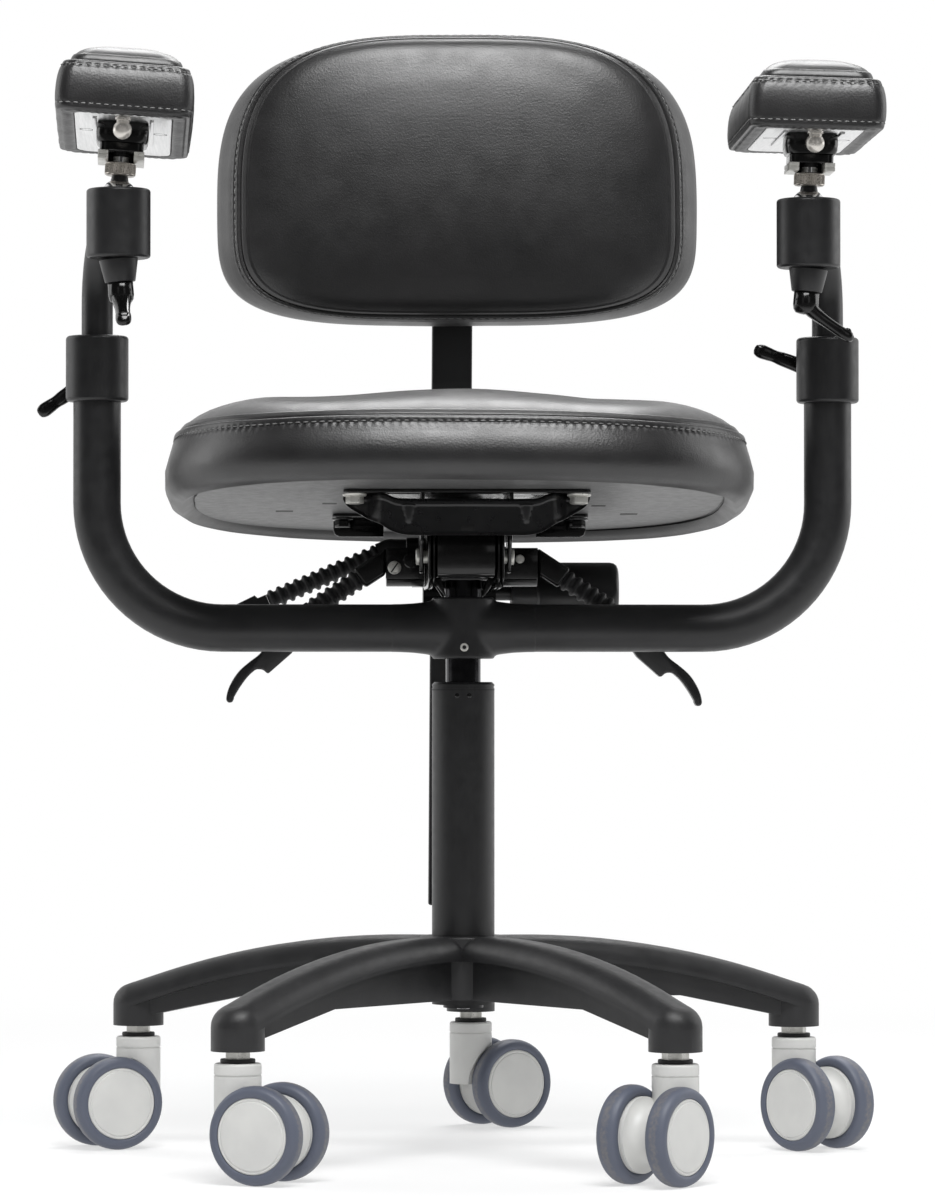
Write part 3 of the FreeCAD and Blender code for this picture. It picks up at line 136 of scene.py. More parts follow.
def turnedRing(profile, segments=72):
    # a closed ring: the profile's end joins its start
    angles = np.linspace(0, fullTurn, segments, endpoint=False)
    rings = np.array([[(r * math.cos(a), r * math.sin(a), z) for a in angles] for r, z in profile])
    points, faces = skin(rings, False, False)
    last = (len(profile) - 1) * segments
    for i in range(segments):
        faces.append([last + i, last + (i + 1) % segments, (i + 1) % segments, i])
    return points, faces


def squareRing(inner, outer, low, high, segments):
    return turnedRing(((inner, low), (outer, low), (outer, high), (inner, high)), segments)


def prism(outline, low, high):
    flat = np.asarray(outline, float)
    return skin(np.array([ringAt(flat, level) for level in (low, high)]))


def hexagon(radius):
    return [(radius * math.cos(k * fullTurn / 6), radius * math.sin(k * fullTurn / 6)) for k in range(6)]


def block(low, high):
    outline = ((low[0], low[1]), (high[0], low[1]), (high[0], high[1]), (low[0], high[1]))
    return prism(outline, low[2], high[2])


def sideX(way, values):
    # x from low to high of something on the left (-1) or the right (1)
    return sorted(way * value for value in values)


def sweep(path, halves, sideways, power=2.4, count=28):
    # oval sections along a path: halves gives the half width and half height at each point
    path = np.asarray(path, float)
    tangents = np.gradient(path, axis=0)
    tangents /= np.linalg.norm(tangents, axis=1)[:, None]
    angles = np.linspace(0, fullTurn, count, endpoint=False)
    across = np.sign(np.cos(angles)) * np.abs(np.cos(angles)) ** (2 / power)
    upward = np.sign(np.sin(angles)) * np.abs(np.sin(angles)) ** (2 / power)
    rings = []
    for point, tangent, (wide, high) in zip(path, tangents, halves):
        side = np.asarray(sideways, float) - tangent * np.dot(sideways, tangent)
        side /= np.linalg.norm(side)
        lift = np.cross(tangent, side)
        rings.append(point + np.outer(across * wide, side) + np.outer(upward * high, lift))
    return skin(np.array(rings))


def placed(shape, matrix):
    points = np.asarray(shape[0], float)
    turn = np.array(matrix.to_3x3())
    return points @ turn.T + np.array(matrix.translation), shape[1]


def joined(shapes):
    points, faces, start = [], [], 0
    for shapePoints, shapeFaces in shapes:
        points.append(np.asarray(shapePoints, float))
        faces += [[i + start for i in face] for face in shapeFaces]
        start += len(shapePoints)
    return np.vstack(points), faces


def axesAt(origin, zAxis, xHint=(1, 0, 0)):
    # matrix in millimetres with its Z along zAxis and its X near xHint
    z = Vector(zAxis).normalized()
    x = Vector(xHint) - z * Vector(xHint).dot(z)
    x.normalize()
    turn = Matrix((x, z.cross(x), z)).transposed().to_4x4()
    return Matrix.Translation(Vector(origin)) @ turn


def newPiece(name, shape, finish, sharp=38, bevel=0, bevelSteps=2):
    mesh = bpy.data.meshes.new(name)
    mesh.from_pydata((np.asarray(shape[0]) * mm).tolist(), [], shape[1])
    work = bmesh.new()
    work.from_mesh(mesh)
    bmesh.ops.recalc_face_normals(work, faces=work.faces)
    work.to_mesh(mesh)
    work.free()
    mesh.materials.append(finishes[finish])
    piece = bpy.data.objects.new(name, mesh)
    bpy.context.scene.collection.objects.link(piece)
    if bevel:
        modifier = piece.modifiers.new("edgeRound", "BEVEL")
        modifier.width = bevel * mm
        modifier.segments = bevelSteps
        modifier.limit_method = "ANGLE"
        modifier.angle_limit = math.radians(sharp)
        settle(piece)
    smooth(piece.data, sharp)
    return piece


def smooth(mesh, sharp):
    mesh.polygons.foreach_set("use_smooth", [True] * len(mesh.polygons))
    mesh.set_sharp_from_angle(angle=math.radians(sharp))


def settle(piece):
    # the evaluated mesh takes the place of the modifiers
    graph = bpy.context.evaluated_depsgraph_get()
    mesh = bpy.data.meshes.new_from_object(piece.evaluated_get(graph))
    piece.modifiers.clear()
    old = piece.data
    piece.data = mesh
    bpy.data.meshes.remove(old)
    mesh.name = piece.name


def dress(piece, body, slot, *replaced):
    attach(piece, body)
    if replaced:
        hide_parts(*replaced)
    return piece


def fit(name, shape, finish, body, slot, *replaced, **look):
    return dress(newPiece(name, shape, finish, **look), body, slot, *replaced)


def nodePoints(name):
    mesh = nodes[name].data
    points = np.zeros(len(mesh.vertices) * 3)
    mesh.vertices.foreach_get("co", points)
    return points.reshape(-1, 3) / mm


def spanAlong(name, origin, axis):
    along = (nodePoints(name) - np.array(origin)) @ np.array(axis)
    return along.min(), along.max()


def jointPlace(name):
    return Vector(joints[name]["pos_m"]) / mm


def jointAxis(name):
    return Vector(joints[name]["axis"]).normalized()


# Finishes

def linear(hexValue):
    channels = [int(hexValue[i:i + 2], 16) / 255 for i in (1, 3, 5)]
    return [c / 12.92 if c <= 0.04045 else ((c + 0.055) / 1.055) ** 2.4 for c in channels] + [1.0]


def addNode(tree, kind, inputs=None, **settings):
    node = tree.nodes.new(kind)
    for name, value in settings.items():
        setattr(node, name, value)
    for name, value in (inputs or {}).items():
        if isinstance(value, bpy.types.NodeSocket):
            tree.links.new(value, node.inputs[name])
        else:
            node.inputs[name].default_value = value
    return node


def perMetre(size):
    # scale of a pattern whose features are size millimetres apart
    return 1 / (size * mm)


def makeFinish(name, s):
    # tone, gloss and relief each follow a grain: its size in millimetres, its detail and its stretch
    material = bpy.data.materials.new(name)
    material.use_nodes = True
    tree = material.node_tree
    shader = tree.nodes["Principled BSDF"]
    for socket, value in s["sockets"].items():
        shader.inputs[socket].default_value = value
    place = addNode(tree, "ShaderNodeTexCoord").outputs["Object"]
    grains = {}
    for use, (size, detail, stretch) in s["grains"].items():
        mapped = addNode(tree, "ShaderNodeMapping", {"Vector": place, "Scale": stretch})
        grains[use] = addNode(tree, "ShaderNodeTexNoise", {
            "Vector": mapped.outputs["Vector"], "Scale": perMetre(size), "Detail": detail}).outputs["Fac"]
    if "pebble" in s:
        pebbles = addNode(tree, "ShaderNodeTexVoronoi", {
            "Vector": place, "Scale": perMetre(s["pebble"])}, feature="F1")
        raised = addNode(tree, "ShaderNodeMath", {
            0: pebbles.outputs["Distance"], 1: grains["relief"]}, operation="ADD")
        grains["relief"] = raised.outputs["Value"]
    if "wornBy" in s:
        wear = addNode(tree, "ShaderNodeAttribute", attribute_name=s["wornBy"]).outputs["Fac"]
        worn = addNode(tree, "ShaderNodeMath", {0: wear, 1: grains["tone"]}, operation="MULTIPLY")
        grains["tone"] = worn.outputs["Value"]
    middle = (0.3, 0.7)  # where a noise has most of its values
    ramp = addNode(tree, "ShaderNodeValToRGB", {"Fac": grains["tone"]})
    for element, position, colour in zip(ramp.color_ramp.elements, s.get("span", middle), s["tones"]):
        element.position = position
        element.color = linear(colour)
    tree.links.new(ramp.outputs["Color"], shader.inputs["Base Color"])
    if "gloss" in grains:
        spread = addNode(tree, "ShaderNodeMapRange", {
            "Value": grains["gloss"], "From Min": middle[0], "From Max": middle[1],
            "To Min": s["roughness"][0], "To Max": s["roughness"][1]})
        tree.links.new(spread.outputs["Result"], shader.inputs["Roughness"])
    bump = addNode(tree, "ShaderNodeBump", {
        "Height": grains["relief"], "Distance": s["depth"] * mm, "Strength": s.get("strength", 1.0)})
    tree.links.new(bump.outputs["Normal"], shader.inputs["Normal"])
    return material


evenly = (1, 1, 1)


def coated(dark, light, roughness, grit, depth, metallic=0.0, mottle=30.0):
    # a coated or moulded surface: cloudy tone, uneven gloss and a fine grit
    return {"tones": (dark, light), "roughness": (roughness - 0.04, roughness + 0.05), "depth": depth,
            "grains": {"tone": (mottle, 3.0, evenly), "gloss": (mottle / 4, 2.0, evenly),
                       "relief": (grit, 1.0, evenly)}, "sockets": {"Metallic": metallic}}


def plated(dark, light, roughness, mottle, metallic=1.0):
    # a plated or ground metal: faint patches in tone and gloss
    return {"tones": (dark, light), "roughness": (roughness - 0.03, roughness + 0.06), "depth": 0.01,
            "grains": {"tone": (mottle, 3.0, evenly), "gloss": (mottle / 3, 2.0, evenly),
                       "relief": (mottle / 6, 2.0, evenly)}, "sockets": {"Metallic": metallic}}


# black grained leather, pigment finished: a soft gloss broken by 1 mm pebbles and flexing creases
leatherLook = {
    "tones": ("#0e0e0f", "#151415"), "roughness": (0.37, 0.45), "depth": 0.10, "strength": 0.8, "pebble": 1.5,
    "grains": {"tone": (60, 3.0, evenly), "gloss": (22, 3.0, evenly), "relief": (4.0, 4.0, (0.45, 1, 1.6))},
    "sockets": {"IOR": 1.52, "Specular IOR Level": 0.8},
}
# mill aluminium plate, brushed along its length: fine streaks and a broad soft glint
streaks = (1.6, 2.0, (1, 0.03, 1))
brushedLook = {
    "tones": ("#dcdddd", "#f2f2f2"), "roughness": (0.3, 0.42), "depth": 0.02,
    "grains": {"tone": streaks, "gloss": streaks, "relief": streaks}, "sockets": {"Metallic": 1.0},
}
# blue-grey polyurethane tyre, moulded: satin walls and a dusty tread worn brown in the middle
dust = (3.0, 4.0, evenly)
tyreLook = {
    "tones": ("#555a68", "#77736f"), "span": (0.3, 0.9), "depth": 0.05, "wornBy": "tread",
    "grains": {"tone": dust, "relief": dust}, "sockets": {"Roughness": 0.5},
}

finishes = {
    # powder coat on steel tube: orange peel of about 1 mm and a half gloss
    "powderCoat": makeFinish("powderCoatBlack", coated("#141415", "#1b1b1c", 0.40, 1.4, 0.03)),
    # glass-filled nylon, moulded: a grainy satin black
    "nylon": makeFinish("glassFilledNylonBlack", coated("#1d1d1e", "#262627", 0.46, 1.2, 0.05)),
    # black enamel on stamped steel: glossy, with shallow ripples
    "enamel": makeFinish("blackEnamelSteel", coated("#121213", "#19191a", 0.30, 3.0, 0.03)),
    # moulded black polypropylene board, pebbled to hide scratches: its tone is lifted to grey as painted
    # light, standing in for the white floor's glow on its underside
    "board": makeFinish("pebbledBoardBlack", coated("#525252", "#585858", 0.42, 1.6, 0.22)),
    # moulded plastic of knobs and levers: smooth with a soft gloss
    "lever": makeFinish("mouldedPlasticBlack", coated("#141415", "#1b1b1c", 0.34, 2.0, 0.02)),
    # ribbed rubber sleeve: matt and slightly chalky
    "rubber": makeFinish("sleeveRubberBlack", coated("#1a1a1b", "#242425", 0.55, 1.0, 0.03)),
    # oxide-blackened steel: dark with a metallic glint
    "oxide": makeFinish("blackOxideSteel", coated("#1b1b1c", "#262627", 0.36, 1.5, 0.02, 0.4)),
    # light grey nylon of the casters: satin, slightly yellowed
    "casterNylon": makeFinish("lightGreyNylon", coated("#c6c6c4", "#d0d0cd", 0.42, 1.2, 0.03)),
    # bonded polyester sewing thread, black-grey, painted pale grey as a painted sheen for the glints of its
    # satin twist; the twist itself is too fine to show, drawn at 0.6 mm
    "thread": makeFinish("sewingThreadGrey", coated("#5c5c5c", "#7a7a79", 0.40, 0.6, 0.05)),
    # polished black moulding and enamel: sharp reflections
    "gloss": makeFinish("glossBlackMoulding", coated("#060606", "#0b0b0b", 0.16, 4.0, 0.015)),
    # black chrome of the gas spring's end: almost a mirror
    "mirrorBlack": makeFinish("blackChrome", coated("#3a3a3c", "#444446", 0.14, 8.0, 0.004, 1.0)),
    # black rubber of the seals, and painted shade: dark pieces standing in for the shade inside slots,
    # sockets, holes and gaps: matt, with no glint
    "rubberAndPaintedShade": makeFinish("darkRecess", coated("#0b0b0b", "#111111", 0.6, 1.0, 0.01)),
    # zinc plate with clear passivation: bright and slightly patchy
    "zinc": makeFinish("zincPlatedSteel", plated("#bcbbb5", "#d6d5d0", 0.30, 6.0, 0.6)),
    # ground steel rod: grey with a narrow glint
    "groundSteel": makeFinish("groundSteel", plated("#9a9a9b", "#b5b5b6", 0.22, 8.0)),
    # chromed ball: a clear mirror
    "chrome": makeFinish("polishedChrome", plated("#cfcfd1", "#dededf", 0.08, 12.0)),
    # nickel-plated knurled nut: warm grey
    "nickel": makeFinish("nickelPlatedSteel", plated("#aaa49c", "#c4beb6", 0.28, 5.0, 0.7)),
    # satin nickel of the stop pins: pale and a little softer than the nuts
    "satinNickel": makeFinish("satinNickel", plated("#c4c0b9", "#d8d4ce", 0.22, 6.0, 0.6)),
    "leather": makeFinish("grainedLeatherBlack", leatherLook),
    "aluminium": makeFinish("brushedAluminium", brushedLook),
    "tyre": makeFinish("polyurethaneTyre", tyreLook),
}

nodeFinishes = {
    "nylon": ["star_base"],
    "powderCoat": ["column_tube", "arm_yoke", "back_arm"],
    "mirrorBlack": ["gas_cylinder"],
    "zinc": ["caster_stems"],
    "oxide": ["column_clip"],
    "groundSteel": ["piston_rod"],
    "board": ["seat_board", "back_shell"],
    "casterNylon": [f"caster_{number}_fork" for number in casterNumbers],
}
for side in sides:
    nodeFinishes["powderCoat"] += [f"{side}_arm_collar", f"{side}_arm_post", f"{side}_ball_housing"]
    nodeFinishes.setdefault("chrome", []).append(f"{side}_arm_ball")
    nodeFinishes["oxide"].append(f"{side}_ball_stem")
for finish, names in nodeFinishes.items():
    for name in names:
        nodes[name].data.materials.clear()
        nodes[name].data.materials.append(finishes[finish])
print("finishes made:", len(finishes))


# Geometry Nodes trees

def newTree(name, **inputs):
    # a tree with named inputs, each given as its socket type
    tree = bpy.data.node_groups.new(name, "GeometryNodeTree")
    tree.interface.new_socket("Geometry", in_out="INPUT", socket_type="NodeSocketGeometry")
    for label, kind in inputs.items():
        tree.interface.new_socket(label, in_out="INPUT", socket_type="NodeSocket" + kind)
    tree.interface.new_socket("Geometry", in_out="OUTPUT", socket_type="NodeSocketGeometry")
    return tree, addNode(tree, "NodeGroupInput").outputs


def endTree(tree, geometry, material):
    real = addNode(tree, "GeometryNodeRealizeInstances", {"Geometry": geometry})
    finished = addNode(tree, "GeometryNodeSetMaterial", {
        "Geometry": real.outputs["Geometry"], "Material": material})
    addNode(tree, "NodeGroupOutput", {"Geometry": finished.outputs["Geometry"]})
    return tree


def makeStitchTree():
    # thread stitches laid along a sewn line
    tree, given = newTree("stitchRow", Pitch="Float", Length="Float", Thickness="Float", Material="Material")
    line = addNode(tree, "GeometryNodeMeshToCurve", {"Mesh": given["Geometry"]})
    spaced = addNode(tree, "GeometryNodeResampleCurve", {
        "Curve": line.outputs["Curve"], "Length": given["Pitch"]}, mode="LENGTH")
    bead = addNode(tree, "GeometryNodeMeshUVSphere", {"Segments": 6, "Rings": 5, "Radius": 0.5})
    size = addNode(tree, "ShaderNodeCombineXYZ", {
        "X": given["Length"], "Y": given["Thickness"], "Z": given["Thickness"]})
    along = addNode(tree, "FunctionNodeAlignRotationToVector", {
        "Vector": addNode(tree, "GeometryNodeInputTangent").outputs["Tangent"]}, axis="X")
    sewn = addNode(tree, "GeometryNodeInstanceOnPoints", {
        "Points": spaced.outputs["Curve"], "Instance": bead.outputs["Mesh"],
        "Rotation": along.outputs["Rotation"], "Scale": size.outputs["Vector"]})
    return endTree(tree, sewn.outputs["Instances"], given["Material"])


def makeScatterTree():
    # the same small part set at every given point
    tree, given = newTree("partAtPoints", Part="Object", Material="Material")
    part = addNode(tree, "GeometryNodeObjectInfo", {"Object": given["Part"]})
    spread = addNode(tree, "GeometryNodeInstanceOnPoints", {
        "Points": given["Geometry"], "Instance": part.outputs["Geometry"]})
    return endTree(tree, spread.outputs["Instances"], given["Material"])


def makeRibTree():
    # bellows: a straight run whose radius rises and falls once for each rib
    tree, given = newTree("ribbedSleeve", Start="Vector", End="Vector", Ribs="Int", Outer="Float",
                          Valley="Float", Material="Material")
    line = addNode(tree, "GeometryNodeCurvePrimitiveLine", {"Start": given["Start"], "End": given["End"]})
    steps = addNode(tree, "ShaderNodeMath", {0: given["Ribs"], 1: 10.0}, operation="MULTIPLY")
    count = addNode(tree, "ShaderNodeMath", {0: steps.outputs["Value"], 1: 1.0}, operation="ADD")
    fine = addNode(tree, "GeometryNodeResampleCurve", {
        "Curve": line.outputs["Curve"], "Count": count.outputs["Value"]}, mode="COUNT")
    share = addNode(tree, "GeometryNodeSplineParameter").outputs["Factor"]
    turns = addNode(tree, "ShaderNodeMath", {0: share, 1: given["Ribs"]}, operation="MULTIPLY")
    phase = addNode(tree, "ShaderNodeMath", {0: turns.outputs["Value"], 1: fullTurn}, operation="MULTIPLY")
    wave = addNode(tree, "ShaderNodeMath", {0: phase.outputs["Value"]}, operation="COSINE")
    swell = addNode(tree, "ShaderNodeMapRange", {
        "Value": wave.outputs["Value"], "From Min": 1.0, "From Max": -1.0})
    radius = addNode(tree, "ShaderNodeMapRange", {
        "Value": swell.outputs["Result"], "From Min": 0.15, "From Max": 0.8,
        "To Min": given["Valley"], "To Max": given["Outer"]})
    ring = addNode(tree, "GeometryNodeCurvePrimitiveCircle", {"Resolution": 40, "Radius": 1.0})
    tube = addNode(tree, "GeometryNodeCurveToMesh", {
        "Curve": fine.outputs["Curve"], "Profile Curve": ring.outputs["Curve"],
        "Scale": radius.outputs["Result"], "Fill Caps": True})
    return endTree(tree, tube.outputs["Mesh"], given["Material"])


def makeKnurlTree():
    # straight knurl: wedge teeth round a circle about Z
    tree, given = newTree("straightKnurl", Teeth="Int", Radius="Float", Depth="Float", Height="Float",
                          Material="Material")
    circle = addNode(tree, "GeometryNodeMeshCircle", {"Vertices": given["Teeth"], "Radius": given["Radius"]})
    width = addNode(tree, "ShaderNodeMath", {0: given["Radius"], 1: fullTurn}, operation="MULTIPLY")
    pitch = addNode(tree, "ShaderNodeMath", {0: width.outputs["Value"], 1: given["Teeth"]},
                    operation="DIVIDE")
    tooth = addNode(tree, "GeometryNodeMeshCylinder", {
        "Vertices": 4, "Radius": 0.5, "Depth": given["Height"]})
    size = addNode(tree, "ShaderNodeCombineXYZ", {
        "X": given["Depth"], "Y": pitch.outputs["Value"], "Z": 1.0})
    outward = addNode(tree, "FunctionNodeAlignRotationToVector", {
        "Vector": addNode(tree, "GeometryNodeInputPosition").outputs["Position"]}, axis="X", pivot_axis="Z")
    teeth = addNode(tree, "GeometryNodeInstanceOnPoints", {
        "Points": circle.outputs["Mesh"], "Instance": tooth.outputs["Mesh"],
        "Rotation": outward.outputs["Rotation"], "Scale": size.outputs["Vector"]})
    return endTree(tree, teeth.outputs["Instances"], given["Material"])


def grow(name, tree, values, points=(), edges=(), sharp=38, place=None):
    # runs a tree on points in millimetres and keeps the plain mesh, at its place
    mesh = bpy.data.meshes.new(name)
    mesh.from_pydata((np.asarray(points, float).reshape(-1, 3) * mm).tolist(), edges, [])
    piece = bpy.data.objects.new(name, mesh)
    bpy.context.scene.collection.objects.link(piece)
    modifier = piece.modifiers.new("nodes", "NODES")
    modifier.node_group = tree
    for item in tree.interface.items_tree:
        if item.in_out == "INPUT" and item.name in values:
            modifier[item.identifier] = values[item.name]
    settle(piece)
    smooth(piece.data, sharp)
    if place:
        metres = place.copy()
        metres.translation *= mm
        piece.data.transform(metres)
    return piece


stitchTree = makeStitchTree()
scatterTree = makeScatterTree()
ribTree = makeRibTree()
knurlTree = makeKnurlTree()
print("node trees made")


# Cushions: rings from the underside, round the band and the seam, to the middle of the panel

spanSteps = 24  # steps between two points of a profile
perStitch = 5  # points of a ring for each stitch
clothFrames = 20


oval = {"bandFade": 60, "steepest": 1.6, "middlePower": 2.2}


def ovalRing(s, inset, angles):
    # each half of the outline shrinks to nothing as the inset reaches the half width
    wide = s["halfWidth"]
    cosine = np.cos(angles)
    sine = np.sin(angles)
    # a band may be broader at the sides than below or above
    sides, below, above = s.get("bands", (0, 0, 0))

    def shrunk(reach, more):
        own = inset * (1 + more * math.exp(-inset / oval["bandFade"]))
        return reach * (1 - own / wide) ** min(wide / reach, oval["steepest"])

    easing = (inset / wide) ** 2
    power = np.where(sine >= 0, s["powerRear"], s["powerFront"])
    power = power + (oval["middlePower"] - power) * easing
    reach = np.where(sine >= 0, shrunk(s["rear"], above), shrunk(s["front"], below))
    x = shrunk(wide, sides) * np.sign(cosine) * np.abs(cosine) ** (2 / power)
    y = reach * np.sign(sine) * np.abs(sine) ** (2 / power)
    return np.stack([x, y], axis=1)


def cornerRing(s, inset, angles):
    # rectangle with rounded corners: each quarter is a half side, a corner and another half side
    wide = s["halfWidth"] - inset
    reach = np.where(np.sin(angles) >= 0, s["rear"], s["front"]) - inset
    corner = min(s["corner"], wide)
    share = np.arctan2(np.abs(np.sin(angles)), np.abs(np.cos(angles))) / (fullTurn / 4)
    cornerStart, cornerEnd = 0.4, 0.6
    turn = np.clip((share - cornerStart) / (cornerEnd - cornerStart), 0, 1) * fullTurn / 4
    x = np.where(share > cornerEnd, (wide - corner) * (1 - share) / (1 - cornerEnd),
                 wide - corner + corner * np.cos(turn))
    y = np.where(share < cornerStart, (reach - corner) * share / cornerStart,
                 reach - corner + corner * np.sin(turn))
    return np.stack([np.sign(np.cos(angles)) * x, np.sign(np.sin(angles)) * y], axis=1)


def outlineRing(s, inset, angles):
    return cornerRing(s, inset, angles) if "corner" in s else ovalRing(s, inset, angles)


def evenAngles(s, inset, count):
    # angles at which the outline's points are equally far apart
    fine = np.linspace(0, fullTurn, 200001)
    lengths = runLength(outlineRing(s, inset, fine))
    return np.interp(np.linspace(0, lengths[-1], count, endpoint=False), lengths, fine), lengths[-1]


def outwardNormals(grid):
    along = np.roll(grid, -1, axis=1) - np.roll(grid, 1, axis=1)
    across = np.gradient(grid, axis=0)
    normals = np.cross(along, across)
    normals /= np.maximum(np.linalg.norm(normals, axis=2), 1e-9)[..., None]
    middle = grid.mean(axis=(0, 1))
    return normals if np.sum(normals * (grid - middle)) > 0 else -normals


def hump(d, half):
    # a smooth rise to 1 where d is 0
    return np.exp(-(d / half) ** 2)


seam = {"groove": 0.95, "dive": 6.0, "roll": 0.6, "sewn": 1.4, "even": 0.62,
        "pucker": 0.16, "puckerHalf": 1.8, "puckerBelow": 2.6,
        "fineBelow": 10.0, "fineAbove": 9.01, "held": 7, "crownFrom": 4, "crownFade": 60}
thread = {"lift": 0.25, "share": 0.66, "thick": 0.9}


def seamRelief(d, phase, s):
    # d is the distance from the seam, positive on the panel, and phase counts stitches
    strip = s["strip"]
    wave = np.cos(fullTurn * phase)
    groove = -s["grooveDepth"] * hump(d, seam["groove"])
    dive = -s["dive"] * hump(d, seam["dive"]) * (d > 0)
    rolledEdge = seam["roll"] * hump(d + 0.42 * strip, 0.33 * strip)
    sewn = -s["stitchDepth"] * hump(d + strip, seam["sewn"]) * (seam["even"] + (1 - seam["even"]) * wave)
    pucker = -seam["pucker"] * hump(d + strip + seam["puckerBelow"], seam["puckerHalf"]) * wave
    return groove + dive + rolledEdge + sewn + pucker


def swellOf(name, grid, heldRows, s):
    # cloth under light pressure, held at the seam and the underside; gives each grid point's outward move
    coarse = grid[::2, ::perStitch]
    points, faces = skin(coarse)
    mesh = bpy.data.meshes.new(name)
    mesh.from_pydata((points * mm).tolist(), [], faces)
    pad = bpy.data.objects.new(name, mesh)
    bpy.context.scene.collection.objects.link(pad)
    remesh = pad.modifiers.new("voxels", "REMESH")
    remesh.mode = "VOXEL"
    remesh.voxel_size = s["voxel"] * mm
    settle(pad)
    rowOf = np.repeat(np.arange(len(grid))[::2], coarse.shape[1])
    tree = KDTree(len(points))
    for index, point in enumerate(points):
        tree.insert(point * mm, index)
    tree.balance()
    held = pad.vertex_groups.new(name="held")
    for vertex in pad.data.vertices:
        row = rowOf[tree.find(vertex.co)[1]]
        if heldRows[row]:
            held.add([vertex.index], 1.0, "REPLACE")
    start = np.array([vertex.co for vertex in pad.data.vertices])
    normals = np.array([vertex.normal for vertex in pad.data.vertices])
    cloth = pad.modifiers.new("cloth", "CLOTH")
    cloth.settings.use_pressure = True
    cloth.settings.uniform_pressure_force = s["pressure"]
    cloth.settings.vertex_group_mass = "held"
    cloth.settings.effector_weights.gravity = 0
    cloth.collision_settings.use_collision = False
    cloth.point_cache.frame_start = 1
    cloth.point_cache.frame_end = clothFrames
    scene = bpy.context.scene
    for step in range(1, clothFrames + 1):
        scene.frame_set(step)
    settle(pad)
    end = np.array([vertex.co for vertex in pad.data.vertices])
    scene.frame_set(1)
    leastSwell = -0.2
    moved = np.clip(np.sum((end - start) * normals, axis=1) / mm, leastSwell, s["mostSwell"])
    bpy.data.objects.remove(pad)
    return moved, start / mm


def spreadMoves(grid, moved, start):
    # smooth copy of the simulated move on every grid point
    nearest, softening, passes = 10, 2.0, 6
    tree = KDTree(len(start))
    for index, point in enumerate(start):
        tree.insert(point, index)
    tree.balance()
    columns = np.arange(0, grid.shape[1], perStitch)
    values = np.zeros((grid.shape[0], len(columns)))
    for row in range(grid.shape[0]):
        for k, column in enumerate(columns):
            near = tree.find_n(grid[row, column], nearest)
            weights = np.array([1 / (distance + softening) for _, _, distance in near])
            values[row, k] = np.dot(weights, moved[[index for _, index, _ in near]]) / weights.sum()
    for _ in range(passes):
        values = (np.roll(values, 1, axis=1) + 2 * values + np.roll(values, -1, axis=1)) / 4
        values[1:-1] = (values[:-2] + 2 * values[1:-1] + values[2:]) / 4
    turns = np.arange(grid.shape[1])
    wrapped = np.column_stack([values, values[:, :1]])
    knots = np.append(columns, grid.shape[1])
    return np.array([np.interp(turns, knots, row) for row in wrapped])


